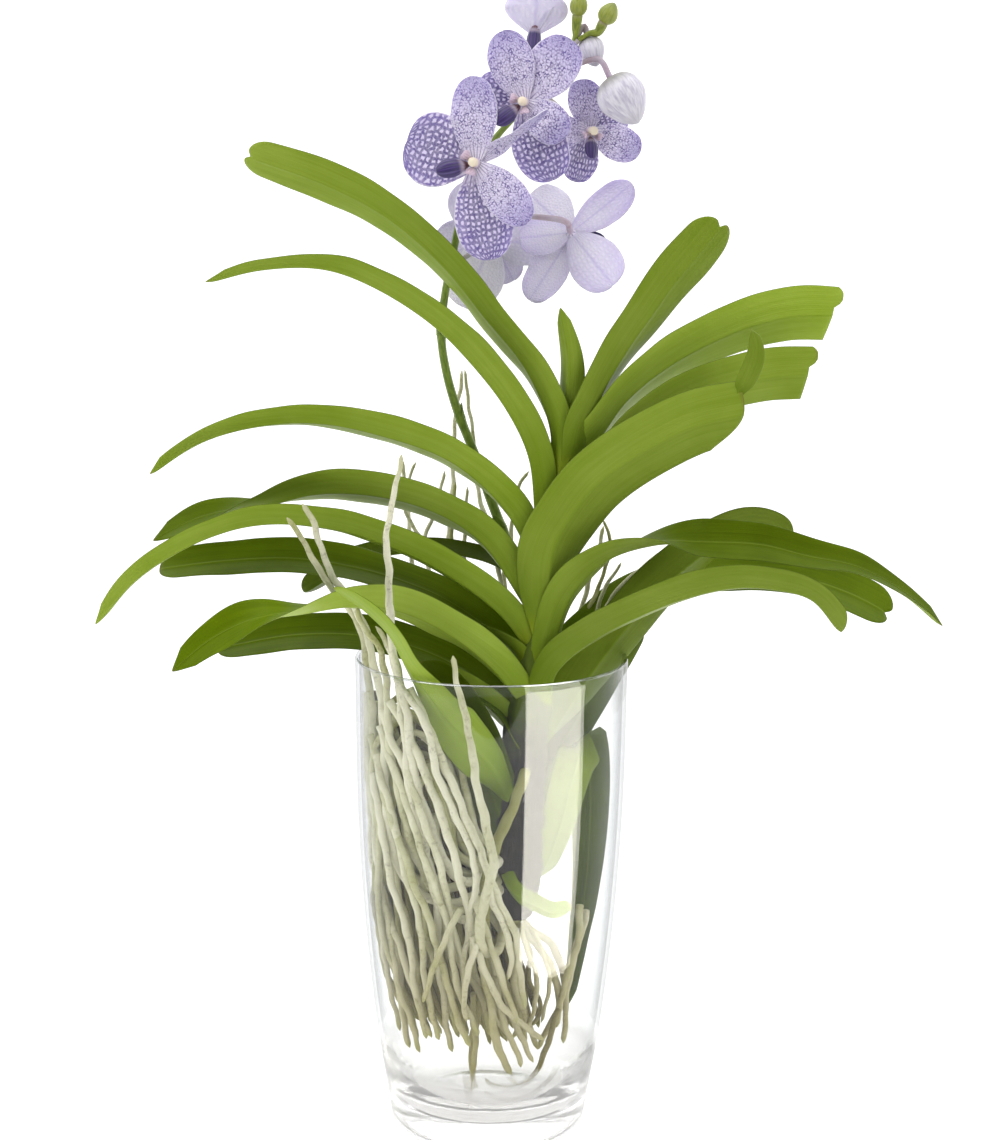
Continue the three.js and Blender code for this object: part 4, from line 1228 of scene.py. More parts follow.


# The lines and widths are in millimetres.
# A leaf's tint sets its brightness, partly its own tone and partly painted light and shade; below 0,
# painted shade.
LEAVES = [
    Leaf("leaf_left_1", 29, (14, 12), (0, -43, -45, -48, -55, -63, -63), Tip.NOTCHED, 0.55, [
        (38, 0, 391), (40, 2, 416), (23, 5, 452), (-3, 8, 484), (-27, 12, 512), (-59, 17, 539),
        (-96, 22, 558), (-144, 27, 575),
    ]),
    Leaf("leaf_left_2", 30, (42, 40), (0, -25, -18, -12, -10), Tip.POINTED, 0.45, [
        (33, 0, 364), (27, -2, 404), (12, -5, 434), (-11, -10, 464), (-34, -18, 487), (-64, -26, 506),
        (-94, -34, 516), (-130, -41, 515), (-160, -45, 507),
    ]),
    Leaf("leaf_left_3", 30, (22, 25), (0, -47, -47, -45, -36, -30, -28), Tip.POINTED, 0.7, [
        (33, 0, 336), (26, 1, 354), (7, 3, 380), (-25, 7, 403), (-58, 11, 415), (-97, 16, 423),
        (-134, 21, 421), (-173, 26, 409), (-203, 30, 388),
    ]),
    Leaf("leaf_left_4", 31, (20, 20), (0, -44, -48, -50, -50, -38, -8, 35, 50), Tip.POINTED, 0.5, [
        (30, 0, 314), (18, 2, 331), (-3, 5, 355), (-35, 9, 373), (-66, 12, 381), (-103, 14, 382),
        (-135, 17, 374), (-172, 21, 364), (-201, 24, 349),
    ], taper=0.66),
    Leaf("leaf_left_5", 29, (24, 25), (0, -42, -40, -38, -34, -34, -40, -46), Tip.POINTED, 0.65, [
        (28, 0, 293), (13, -2, 312), (-18, -5, 335), (-56, -6, 354), (-91, -9, 366), (-133, -13, 368),
        (-168, -20, 359), (-203, -27, 338), (-227, -32, 310),
    ], taper=0.5),
    Leaf("leaf_left_6", 31, (15, 15), (0, 20, 26, 30, 34, 34, 32), Tip.ROUND, 0.35, [
        (26, 0, 281), (16, 3, 294), (-11, 7, 311), (-46, 9, 327), (-79, 10, 337), (-118, 11, 342),
        (-156, 12, 340), (-196, 13, 334),
    ]),
    Leaf("leaf_left_7", 31, (22, 20), (0, -41, -43, -46, -40, -18, 20, 62, 70), Tip.POINTED, 1.15, [
        (26, -4, 261), (17, -8, 271), (-3, -13, 291), (-29, -20, 309), (-54, -28, 321), (-79, -40, 326),
        (-108, -50, 324), (-133, -57, 320), (-159, -60, 306), (-179, -62, 289),
    ], taper=0.62),
    Leaf("leaf_left_8", 31, (14, 14), (20, 30, 32, 34, 34), Tip.ROUND, 0.3, [
        (22, -4, 234), (6, 4, 258), (-25, 10, 281), (-66, 14, 294), (-113, 12, 296), (-162, 10, 287),
    ], clasping=False),
    Leaf("leaf_left_9", 23, (26, 26), (0, -44, -46, -44, -40), Tip.ROUND, 0.55, [
        (20, 2, 232), (6, 0, 252), (-18, -4, 270), (-44, -6, 279),
    ], clasping=False, lobe=Leaf(
        # A leaf base beside the stem, painted dark as shade by its tint below 0, which fills the shaded gap
        # there.
        "leaf_left_9_shaded_base", 32, (12, 12), (-50, -58, -60, -56, -50, -40), Tip.ROUND, -0.3, [
            (13, -7, 166), (7, -10, 190), (-1, -13, 216), (-12, -16, 246), (-28, -18, 272), (-42, -18, 286),
        ], clasping=False,
    )),
    Leaf("leaf_front", 29, (14, 20), (-30, -66, -80, -66, -22, -2, 14, 10, 2), Tip.ROUND, 0.72, [
        (15, -6, 198), (6, -14, 214), (-8, -33, 236), (-22, -46, 257), (-33, -56, 276), (-46, -64, 296),
        (-55, -70, 315), (-70, -73, 331), (-86, -74, 342),
    ]),
    Leaf("leaf_back", 25, (24, 20), (0, -30, -30, -30, -30), Tip.ROUND, -0.3, [
        (30, 4, 319), (17, 22, 333), (-31, 42, 343), (-80, 54, 335), (-115, 60, 313),
    ]),
    Leaf("leaf_crown", 21, (40, 35), (0, -35, -45, -50, -50), Tip.POINTED, 0.4, [
        (43, 4, 408), (43, 4, 430), (44, 3, 460), (38, 2, 490),
    ]),
    Leaf("leaf_right_1", 33, (18, 15), (0, -38, -46, -56, -66, -74, -76), Tip.NOTCHED, 0.25, [
        (42, 2, 396), (48, 2, 420), (57, 2, 436), (66, 4, 453), (77, 7, 471), (89, 10, 488), (100, 13, 503),
        (114, 17, 519), (131, 20, 539),
    ]),
    Leaf("leaf_right_2", 35, (14, 16), (0, -40, -48, -58, -68, -76, -78), Tip.CUT, 1, [
        (38, 2, 376), (45, 5, 402), (62, 8, 421), (77, 11, 439), (99, 19, 456), (123, 27, 469),
        (147, 35, 478), (175, 41, 484), (205, 46, 484),
    ], corner=0.13),
    Leaf("leaf_right_3", 34, (14, 16), (0, -44, -50, -58, -66, -76, -78), Tip.CUT, 0.5, [
        (33, 0, 344), (45, 0, 374), (65, 1, 397), (80, 2, 415), (98, 5, 430), (119, 8, 441), (140, 11, 447),
        (163, 15, 451), (188, 18, 452),
    ], corner=0.13),
    Leaf("leaf_right_4", 41, (16, 24), (0, -56, -64, -70, -74, -78, -80), Tip.CUT, 0.3, [
        (31, -2, 302), (30, -4, 326), (34, -7, 352), (44, -9, 371), (58, -13, 390), (76, -17, 405),
        (93, -21, 416), (115, -24, 427), (143, -27, 434),
    ], rounding=0.32, lobe=Leaf(
        "leaf_right_4_lobe", 12.5, (24, 24), (-70, -66, -62, -60, -60), Tip.POINTED, 0.1, [
            (136.5, -26.2, 443), (142.8, -28.5, 454.5), (146.5, -30, 465.5), (146.3, -31, 474),
            (143.8, -32, 481),
        ], taper=0.45, start_width=0.5, clasping=False,
    )),
    Leaf("leaf_right_5", 31, (20, 24), (0, -45, -45, -28, 0, 44, 50, 42, 32, 20, 10), Tip.POINTED, 0.4, [
        (28, -4, 273), (33, -7, 301), (42, -9, 325), (64, -12, 348), (94, -15, 359), (122, -18, 359),
        (154, -21, 358), (181, -23, 352), (209, -24, 346), (237, -26, 331), (259, -28, 313),
    ]),
    Leaf("leaf_right_6", 30, (28, 26), (0, -36, -38, -38, -38, -36, -34), Tip.ROUND, 0.05, [
        (27, -6, 258), (30, -10, 276), (38, -14, 289), (58, -21, 305), (83, -29, 320), (105, -37, 331),
        (132, -43, 339), (156, -47, 340), (182, -50, 334), (199, -52, 315),
    ]),
    Leaf("leaf_right_7", 36, (18, 14), (0, 20, 30, 42, 52), Tip.NOTCHED, 0.6, [
        (31, 8, 282), (58, 26, 300), (90, 42, 318), (138, 54, 326), (187, 60, 324), (216, 62, 315),
        (244, 63, 301),
    ]),
    Leaf("leaf_right_8", 36, (18, 18), (-30, -66, -78, -76, -66, -50, -40), Tip.ROUND, -0.1, [
        (26, 6, 226), (49, 4, 265), (75, 4, 301), (99, 8, 328), (122, 21, 345), (146, 33, 358),
        (163, 41, 356), (177, 46, 347),
    ], clasping=False, lobe=Leaf(
        "leaf_right_8_base", 31, (14, 14), (-60, -70, -74, -74, -70), Tip.ROUND, -0.4, [
            (20, 14, 188), (34, 22, 214), (50, 26, 243), (68, 24, 276), (84, 16, 305),
        ], clasping=False,
    )),
    Leaf(
        "leaf_in_vase_1", 26, (8, 12),
        (0, -60, -74, -82, -88, -94, -262, -250, -240, -230, -224, -220, -216, -214, -212, -210),
        Tip.POINTED, 0.2, [
            (16, 4, 136), (31, 6, 155), (41, 6, 182), (47, 5, 209), (53, 6, 228), (56, 12, 234),
            (58, 18, 227), (60, 21, 190), (59, 22, 148), (54, 21, 103), (48, 17, 66),
        ], clasping=False,
        stations=(0, 0.1, 0.2, 0.29, 0.325, 0.35, 0.375, 0.41, 0.47, 0.58, 0.72, 0.86, 1),
    ),
    Leaf("leaf_in_vase_2", 17, (16, 16), (0, -50, -60, -60, -60), Tip.ROUND, 0.6, [
        (12, -11, 162), (13, -19, 153), (19, -22, 147), (28, -24, 143), (37, -24, 139), (48, -19, 139),
    ]),
]


# ---- stem and roots


@dataclass
class Root:
    """One root: its radius at its start and at its end, its age and shade, and its course, in millimetres.

    age is 0 for a fresh whitish root and 1 for an old brown one; roots deep in the bundle get more of it as
    painted shade.
    """

    start: float
    end: float
    age: float
    line: list[Point]


# Roots with a course of their own: tall ones that climb past the rim, one up the front of the glass,
# a thick old one, two loops at the right, a long tip, and thin ones at the back.
SINGLE_ROOTS = [
    Root(2.6, 1.5, 0, [
        (16, -6, 168), (-26, -18, 150), (-58, -20, 172), (-68, -14, 225), (-71, -10, 276), (-75, -12, 292),
        (-83, -18, 318), (-93, -29, 334), (-106, -36, 356), (-116, -37, 373),
    ]),
    Root(2.6, 1.6, 0, [
        (16, -6, 164), (-22, -22, 142), (-52, -32, 165), (-61, -32, 225), (-64, -28, 274), (-69, -24, 292),
        (-79, -21, 318), (-90, -29, 338), (-98, -35, 357), (-102, -37, 371), (-108, -38, 381),
    ]),
    Root(2.7, 1.3, 0, [
        (16, -6, 172), (-14, -30, 158), (-38, -44, 205), (-48, -51, 262), (-55, -50, 299), (-58, -50, 326),
        (-58, -56, 348), (-58, -57, 368), (-56, -56, 385), (-51, -55, 412),
    ]),
    Root(2.6, 1.4, 0, [
        (16, -6, 160), (-20, -30, 140), (-47, -40, 190), (-58, -40, 250), (-62, -40, 289), (-69, -52, 306),
        (-76, -64, 327),
    ]),
    Root(2.5, 1.4, 0, [
        (16, -6, 156), (-16, -34, 136), (-40, -46, 190), (-50, -46, 250), (-55, -44, 292), (-61, -46, 304),
        (-66, -47, 313),
    ]),
    Root(2.9, 1.5, 0, [
        (12, -8, 138), (6, -28, 116), (-4, -50, 124), (-5, -62, 143), (2, -65, 177), (-2, -66, 200),
        (-9, -67, 238), (-17, -68, 278), (-21, -68, 301),
    ]),
    Root(3.2, 2, 0.35, [
        (21, -6, 222), (20, -21, 218), (13, -29, 204), (5, -32, 184), (-1, -34, 160), (-3, -34, 120),
        (5, -30, 58),
    ]),
    Root(2.6, 1.6, 0, [(12, -8, 134), (24, 6, 118), (38, 12, 106), (45, 10, 82), (36, 4, 44)]),
    Root(2.5, 1.6, 0, [(12, -8, 132), (26, -6, 116), (37, -4, 96), (42, -4, 72), (30, -6, 46)]),
    Root(2.6, 1.1, 0.4, [(12, -8, 130), (2, -14, 104), (-8, -18, 66), (-9, -20, 40), (-5, -22, 19.8)]),
    Root(1.8, 1.1, 0, [
        (16, -6, 176), (6, 22, 196), (-16, 44, 250), (-26, 58, 330), (-24, 60, 400), (-20, 60, 448),
    ]),
    Root(1.8, 1.1, 0, [(16, -6, 172), (-4, 26, 190), (-34, 46, 262), (-50, 64, 340), (-54, 64, 392)]),
    Root(1.9, 1.1, 0, [(16, -6, 180), (26, 26, 214), (44, 38, 280), (58, 44, 320), (66, 48, 356)]),
]

# Thin roots that climb behind the leaves, from one place on the stem.
BACK_ROOTS = [
    Root(1.5, 0.9, 0.15, [(22, 8, 225), *line])
    for line in (
        [(4, 30, 330), (-11, 48, 389), (-14, 50, 420), (-17, 50, 449)],
        [(-30, 40, 330), (-53, 45, 366), (-50, 45, 384), (-45, 45, 394)],
        [(-20, 36, 290), (-36, 45, 317), (-40, 45, 347), (-34, 45, 368), (-30, 45, 389)],
        [(-2, 30, 285), (-13, 40, 312), (-23, 40, 340), (-23, 40, 383)],
        [(4, 32, 280), (-7, 42, 305), (-17, 42, 338), (-15, 42, 380)],
        [(8, 34, 310), (10, 45, 348), (15, 45, 378), (22, 46, 389)],
        [(50, 34, 290), (65, 45, 321), (70, 45, 343), (66, 45, 361)],
        [(45, 24, 262), (56, 30, 290), (66, 30, 318), (77, 30, 337)],
        [(45, 26, 262), (59, 30, 290), (76, 30, 323), (101, 30, 344)],
        [(30, 20, 222), (38, 25, 242), (47, 25, 266), (55, 25, 280)],
    )
]

# Roots of the bundle that lie against the glass: two from the rim, a fan from the left to the middle,
# those of the middle, and those low at the left and at the right.
FRONT_ROOTS = [
    Root(2.2, 1.7, 0, [
        (-54, -52, 284), (-38, -55, 260), (-32, -57, 237), (-21, -57, 209), (-10, -57, 181), (-7, -55, 167),
        (-12, -48, 138), (-15, -44, 112),
    ]),
    Root(2.4, 1.6, 0, [
        (-46, -50, 278), (-34, -53, 252), (-22, -55, 226), (-13, -56, 201), (-3, -58, 180), (6, -55, 154),
        (15, -51, 132), (20, -44, 98), (23, -40, 74),
    ]),
    Root(1.9, 1.4, 0, [(-7, -57, 130), (-12, -55, 110), (-13, -52, 98), (-13, -48, 79)]),
    Root(2.3, 1.8, 0, [
        (-62, -34, 262), (-56, -42, 243), (-46, -48, 224), (-37, -52, 200), (-27, -50, 166),
        (-20, -47, 134), (-15, -44, 108), (-15, -42, 90),
    ]),
    Root(2.5, 1.7, 0, [
        (-58, -40, 268), (-46, -47, 248), (-35, -51, 225), (-27, -54, 200), (-18, -53, 173),
        (-12, -50, 145), (-10, -46, 122), (-11, -44, 104),
    ]),
    Root(2.4, 1.8, 0, [
        (-70, -20, 243), (-62, -34, 218), (-55, -42, 193), (-45, -48, 167), (-34, -49, 141),
        (-30, -48, 121), (-24, -47, 103), (-15, -44, 72), (-9, -41, 55),
    ]),
    Root(2.5, 1.7, 0, [
        (-49, -42, 230), (-43, -46, 207), (-37, -47, 178), (-31, -45, 150), (-29, -43, 133),
        (-29, -42, 118), (-25, -38, 76), (-20, -35, 53),
    ]),
    Root(2.3, 1.6, 0, [
        (-66, -30, 234), (-58, -40, 205), (-50, -44, 175), (-42, -46, 146), (-38, -44, 116), (-34, -42, 88),
        (-29, -38, 60),
    ]),
    Root(2.2, 1.6, 0, [
        (-64, -34, 252), (-52, -45, 222), (-44, -49, 196), (-33, -51, 168), (-24, -50, 136), (-17, -46, 98),
        (-4, -42, 62),
    ]),
    Root(2.4, 1.6, 0, [
        (-68, -26, 222), (-63, -34, 190), (-56, -38, 160), (-48, -40, 130), (-43, -40, 102), (-38, -38, 74),
        (-36, -34, 54),
    ]),
    Root(1.9, 1.4, 0, [(-16, -54, 149), (-25, -54, 130), (-34, -51, 107), (-38, -47, 90)]),
    Root(2, 1.4, 0, [(0, -58, 162), (9, -53, 136), (13, -49, 116), (11, -47, 104)]),
    Root(2.2, 1.6, 0, [(-8, -50, 156), (-3, -52, 137), (6, -49, 111), (14, -44, 87), (17, -42, 72)]),
    Root(2.1, 1.5, 0, [(-9, -53, 132), (-1, -51, 107), (9, -47, 88), (23, -40, 72), (35, -34, 61)]),
    Root(2.6, 2.1, 0, [(-4, -46, 112), (2, -44, 86), (6, -40, 61), (14, -34, 39)]),
    Root(2.1, 1.5, 0, [(4, -42, 104), (9, -40, 77), (16, -36, 58), (19, -34, 44)]),
    Root(2, 1.4, 0, [(9, -38, 96), (15, -36, 74), (22, -32, 57), (28, -30, 46)]),
    Root(2.2, 1.6, 0, [(-66, -12, 156), (-57, -24, 131), (-48, -34, 104), (-40, -38, 84), (-31, -39, 60)]),
    Root(2.2, 1.6, 0, [(-62, -6, 148), (-55, -16, 111), (-51, -25, 81), (-46, -28, 52)]),
    Root(2.2, 1.6, 0, [
        (-72, -4, 258), (-70, -10, 207), (-64, -20, 155), (-53, -30, 97), (-46, -33, 74), (-40, -34, 52),
    ]),
    Root(2.1, 1.5, 0, [(-74, 6, 262), (-72, 2, 198), (-66, -6, 138), (-57, -14, 79), (-51, -18, 50)]),
    Root(1.7, 1.2, 0.45, [
        (42, -12, 74), (36, -18, 56), (26, -26, 37), (14, -31, 31), (2, -30, 33), (-4, -28, 40),
    ]),
    Root(2.2, 1.5, 0, [(54, -4, 136), (52, -4, 110), (46, -6, 87), (40, -10, 60)]),
    Root(2.2, 1.5, 0, [(58, 4, 130), (52, 4, 102), (46, 2, 74), (46, 0, 47)]),
    Root(1.9, 1, 0.6, [(-9, -36, 92), (-8, -33, 56), (-8, -30, 34), (-9, -29, 22)]),
    Root(1.6, 1.1, 0.1, [(16, -4, 135), (23, -14, 112), (28, -16, 92), (26, -14, 70), (20, -12, 54)]),
    Root(1.4, 1, 0.2, [(18, -3, 132), (30, -10, 112), (36, -12, 96), (36, -10, 80), (31, -10, 64)]),
    Root(1.8, 1.2, 0.3, [(14, -4, 130), (18, -10, 106), (15, -12, 84), (19, -12, 66), (14, -10, 50)]),
    Root(1.7, 1.2, 0.5, [(16, 4, 130), (25, 8, 104), (24, 10, 84), (31, 8, 66), (26, 6, 54)]),
]


@dataclass
class RootMass:
    """The old stem, and the bundle of roots that hangs from it in the vase.

    The bundle's left and right edges are heights and places in millimetres. uneven is the most that a
    root is shortened by, as a share, where it ends under uneven_below millimetres. Of the hanging
    roots, those in the left share hanging_over first climb to the rim.
    """

    vase: Vase
    stem: tuple[tuple[float, float, float, float], ...] = (
        (0.013, -0.007, 0.127, 0.0095), (0.0165, -0.005, 0.15, 0.0135), (0.0168, -0.004, 0.18, 0.0142),
        (0.018, -0.003, 0.21, 0.014), (0.0205, -0.003, 0.238, 0.013), (0.0245, -0.003, 0.265, 0.0115),
        (0.028, -0.002, 0.29, 0.0088), (0.0305, -0.001, 0.32, 0.006), (0.033, -0.001, 0.35, 0.0048),
        (0.037, 0.0, 0.379, 0.0042), (0.043, 0.002, 0.412, 0.003),
    )
    bundle_left: tuple[Pair, ...] = (
        (42, -46), (74, -50), (99, -63), (136, -68), (198, -70), (250, -71),
    )
    bundle_right: tuple[Pair, ...] = (
        (42, 34), (82, 24), (123, 12), (150, 4), (174, -1), (210, -13), (250, -29),
    )
    hanging: int = 34
    hanging_over: float = 0.68
    inner: int = 70
    bundle_depth: float = 46.0
    clearance: float = 1.2 * MM
    kinks: Point = (1.3 * MM, 1.2 * MM, 0.3 * MM)
    uneven: float = 0.07
    uneven_below: float = 80.0
    step: float = 2.6 * MM
    sides: int = 10
    seed: int = 11

    GOLDEN = 0.618  # steps by this share never line up
    SCARS = 21
    SCAR_DEPTH = 0.08
    STEM_ROWS = 110
    STEM_SIDES = 24

    def across(self, z: float, share: float) -> float:
        """A place between the bundle's left and right edges at a height, in millimetres."""
        left, right = (np.interp(z, *zip(*edge)) for edge in (self.bundle_left, self.bundle_right))
        return float(mixed(left, right, share))

    def dark_filler_root(self, index: int, rng: Random) -> Root:
        """An old brown root in the bundle's core, drawn dark as painted shade that closes the gaps between
        the fresh ones.

        Args:
            index: Its number, from the bundle's left edge to its right.
            rng: Where its wander is drawn from.

        Returns:
            The root, in millimetres.
        """
        share = mixed(0.04, 0.9, (index + rng.random()) / self.inner)
        depth = rng.uniform(-0.45, 0.75)
        top = mixed(274, 205, share) - 16 * rng.random()
        end = rng.uniform(46, 62)
        line = []
        for fall in (0.0, 0.25, 0.5, 0.75, 1.0):
            z = mixed(top, end, fall)
            wander = rng.normal(0, 2.6, 2)
            y = self.bundle_depth * mixed(0.9, 0.55, fall) * depth + wander[1]
            line.append((self.across(z, share) + wander[0], y, z))
        return Root(rng.uniform(2.0, 2.7), rng.uniform(1.2, 1.7), rng.uniform(0.5, 1.0), line)

    def hanging_root(self, index: int, rng: Random) -> Root:
        """A root of the bundle's body, behind those at the glass.

        Args:
            index: Its number, from the bundle's left edge to its right.
            rng: Where its wander is drawn from.

        Returns:
            The root, in millimetres.
        """
        share = (index + 0.5) / self.hanging
        depth = ((index * self.GOLDEN + 0.4) % 1) * 1.8 - 0.8
        line = [(12.0, -7.0, float(mixed(165, 138, share)))]
        top = 150.0
        if share < self.hanging_over:
            top = float(mixed(262, 196, share / self.hanging_over) - 18 * rng.random())
            climb = 1 - 0.6 * share
            for z in (mixed(150, top, 0.3), mixed(150, top, 0.8)):
                line.append((self.across(z, climb), self.bundle_depth * 0.4 * depth, z))
            line.append((self.across(top, (climb + share) / 2), self.bundle_depth * 0.55 * depth, top + 4))
            line.append((self.across(top, share) + 3, self.bundle_depth * 0.65 * depth, top - 14))
        else:
            line.append((self.across(top, share), self.bundle_depth * 0.3 * depth, top - 16))
        end = 43 + 22 * rng.random()
        for fall in (0.35, 0.6, 0.8, 1.0):
            z = mixed(top, end, fall)
            wander = rng.normal(0, 3.3, 2)
            y = self.bundle_depth * mixed(0.95, 0.6, fall) * depth + wander[1]
            line.append((self.across(z, share) + wander[0], y, z))
        # Painted shade: the deeper a root hangs in the bundle, the browner it is drawn.
        age = float(smooth(depth, -0.6, 0.5)) * 0.8 + 0.2 * rng.random() ** 2
        return Root(rng.uniform(1.8, 2.6), rng.uniform(1.1, 1.7), age, line)

    def inside(self, places: Array, radii: Array) -> Array:
        """Pulls a root in until it stays clear of the glass.

        Args:
            places: The middle of each station.
            radii: The radius at each station.

        Returns:
            The new places.
        """
        most = self.vase.inner_radius(places[:, 2]) - radii - self.clearance
        out = np.hypot(places[:, 0], places[:, 1])
        held = np.minimum(1, most / np.maximum(out, 1e-6))
        rim = self.vase.height
        pull = mixed(held, 1.0, smooth(places[:, 2], rim, rim + 0.03))
        return np.stack([places[:, 0] * pull, places[:, 1] * pull, places[:, 2]], -1)

    def grow_root(self, skin: Skin, root: Root, rng: Random) -> None:
        """Adds one root, kinked and swollen a little along its way, with a rounded tip.

        Args:
            skin: The skin that it joins.
            root: The root.
            rng: Where its kinks and tint are drawn from.
        """
        course = Course(np.array(root.line) * MM)
        count = max(12, int(course.length / self.step))
        t = np.linspace(0, 1, count)
        t *= 1 - self.uneven * rng.random() * (root.line[-1][2] < self.uneven_below)
        metres = t * course.length
        radii = mixed(root.start, root.end, t**3) * MM
        swell = 1 + 0.1 * waves(rng, metres / 0.02, (0.6, 1.1, 2.3))
        to_end = metres[-1] - metres
        radii = radii * swell * rounded(1 - to_end / (2.2 * radii), 0.04)
        kink = np.stack([waves(rng, metres / 0.03, (0.45, 1.0, 2.1)) for _ in range(3)], -1)
        held = smooth(t, 0, 0.08)[:, None]
        places = self.inside(course.at(t) + kink * held * self.kinks, radii)
        headings = unit(np.gradient(places, axis=0))
        skin.tube(places, headings, radii, self.sides, float(0.6 * rng.random() + 1.2 * root.age))

    def build_stem(self, finish: Material) -> None:
        """Makes the stem, ringed by the scars of fallen leaves.

        Args:
            finish: Its material.
        """
        rng = np.random.default_rng(self.seed)
        rows = np.array(self.stem)
        course = Course(rows[:, :3])
        t = np.linspace(0, 1, self.STEM_ROWS)
        radii = np.interp(course.at(t)[:, 2], rows[:, 2], rows[:, 3])
        scars = self.SCAR_DEPTH * np.abs(np.sin(t * math.pi * self.SCARS)) * (1 - smooth(t, 0.35, 0.6))
        ragged = 1 + scars + 0.05 * waves(rng, t, (9, 17, 31))
        radii = radii * ragged * rounded(1 - t / 0.02, 0.05)
        skin = Skin("stem_axis")
        skin.tube(course.at(t), course.heading(t), radii, self.STEM_SIDES, flutes=(7, 0.04))
        skin.piece([finish], "stem_and_roots")

    def build_roots(self, finish: Material) -> None:
        """Makes the roots: those with a course of their own, the bundle's body, and its old core, drawn
        dark as painted shade.

        Args:
            finish: Their material.
        """
        rng = np.random.default_rng(self.seed)
        groups = {
            "roots_fresh": [*SINGLE_ROOTS, *BACK_ROOTS, *FRONT_ROOTS],
            "roots_hanging": [self.hanging_root(i, rng) for i in range(self.hanging)],
            "roots_dark_core": [self.dark_filler_root(i, rng) for i in range(self.inner)],
        }
        for name, roots in groups.items():
            skin = Skin(name)
            for root in roots:
                self.grow_root(skin, root, rng)
            skin.piece([finish], "stem_and_roots")


# ---- flowers


@dataclass(frozen=True)
class Form:
    """How a tepal starts and is shaped.

    ahead and inset are where it starts, before the bloom's centre and out from it. cup is how far its
    edges rise, as a share of half its width, and ruffle how deep they wave, as a share of its width.
    """

    ahead: float
    inset: float
    cup: float
    ruffle: float


class Kind(Enum):
    """The parts of a bloom that stand out from its centre."""

    SEPAL = Form(-1.6 * MM, 0.0, 0.12, 0.035)
    PETAL = Form(0.6 * MM, 0.0, -0.1, 0.055)
    LIP = Form(3.4 * MM, 3.4 * MM, -0.55, 0.0)


@dataclass
class Tepal:
    """One petal, sepal or lip: its angle clockwise from straight up, and its size in metres.

    lean is how many degrees it stands up from the bloom's plane, at its foot and at its tip. twist is
    how many degrees it turns about its own line.
    """

    kind: Kind
    angle: float
    length: float
    width: float
    lean: Pair
    twist: float = 0.0

    ROWS = 40
    COLUMNS = 27
    WIDEST = 0.62

    def outline(self, s: Array) -> Array:
        """Shapes the outline.

        Args:
            s: The share along.

        Returns:
            The half width, as a share of its widest.
        """
        rise = mixed(0.2, 1, np.sin(math.pi / 2 * np.minimum(s / self.WIDEST, 1)))
        past = np.clip((s - self.WIDEST) / (1.002 - self.WIDEST), 0, 1)
        return np.where(s < self.WIDEST, rise, rounded(past, power=2.3))

    def surface(self, bloom: "Bloom", s: Array, u: Array, rng: Random) -> Array:
        """The middle surface: an arc that leaves the bloom's centre in its plane.

        Args:
            bloom: The bloom that it belongs to.
            s: The share along, as a column.
            u: The share across, as a row.
            rng: Where its ruffles are drawn from.

        Returns:
            Places as rows x columns x 3.
        """
        facing = unit(bloom.facing)
        angle = math.radians(self.angle)
        seen = np.array([math.sin(angle), 0.0, math.cos(angle)])
        seen[1] = -(seen[0] * facing[0] + seen[2] * facing[2]) / facing[1]
        full = self.length * float(np.linalg.norm(seen))
        out = unit(seen)
        across = np.cross(facing, out)
        form = self.kind.value
        base = np.array(bloom.centre) + facing * form.ahead + out * form.inset
        first = math.radians(self.lean[0])
        bend = math.radians(self.lean[1] - self.lean[0]) or 1e-3
        t = s * (1 - 0.1 * u * u * (1 - smooth(s, 0.5, 0.95)))
        now = (first + bend * t)[..., None]
        turned = (math.radians(self.twist) * smooth(t, 0, 0.6))[..., None]
        normal = facing * np.cos(now) - out * np.sin(now)
        half = (self.width / 2 * self.outline(s)) * np.ones_like(t)
        free = np.abs(u) ** 3 * smooth(s, 0.15, 0.6)
        ruffle = waves(rng, s + 0.13 * np.sign(u), (2.2, 3.7, 5.1)) * free * self.width * form.ruffle
        rise = (form.cup * half * u * u + ruffle)[..., None]
        sideways = across * np.cos(turned) + normal * np.sin(turned)
        raised = normal * np.cos(turned) - across * np.sin(turned)
        reach = full * (np.sin(now) - math.sin(first)) / bend
        lift = full * (math.cos(first) - np.cos(now)) / bend
        return base + out * reach + facing * lift + sideways * (half * u)[..., None] + raised * rise

    def grow(self, skin: Skin, bloom: "Bloom", rng: Random, finish: int) -> None:
        """Adds it to a skin.

        Args:
            skin: The skin that it joins.
            bloom: The bloom that it belongs to.
            rng: Where its ruffles and tint are drawn from.
            finish: The number of its material.
        """
        s = 1 - (1 - np.linspace(0, 1, self.ROWS)) ** 1.35
        s = s[:, None] * np.ones(self.COLUMNS)
        v = np.linspace(1, -1, self.COLUMNS)
        u = (np.sin(v * math.pi / 2) * 0.55 + v * 0.45) * np.ones_like(s)
        middle = self.surface(bloom, s, u, rng)
        normal = surface_normals(middle)
        way = np.sign((normal * unit(bloom.facing)).sum(-1).mean()) or 1.0
        h = np.abs(u)
        half = mixed(0.55, 0.3, h) * MM * rounded(h, power=8) * rounded((s - 0.96) / 0.04, 0.03)
        half = self.relief(s, u, half)
        across = u * self.width / 2 * self.outline(s)
        skin.sheet(middle, normal * way, half, across, s * self.length, (u, s), float(rng.random()), finish)

    def relief(self, s: Array, u: Array, half: Array) -> Array:
        """Thickens a lip, and raises its keels.

        Args:
            s: The share along at each point.
            u: The share across at each point.
            half: Half the thickness at each point.

        Returns:
            Half the thickness at each point, which stays as it is in other kinds.
        """
        if self.kind is not Kind.LIP:
            return half
        keels = 0.5 * MM * np.cos(u * math.pi * 3) ** 2 * smooth(s, 0.02, 0.2) * (1 - smooth(s, 0.7, 1))
        return half * 1.6 + keels * (half > 0) * (1 - np.abs(u)) ** 0.5


class Part(Enum):
    """The materials of a bloom's tepals, in their order."""

    NETTED = 0
    SPECKLED = 1
    PALE = 2


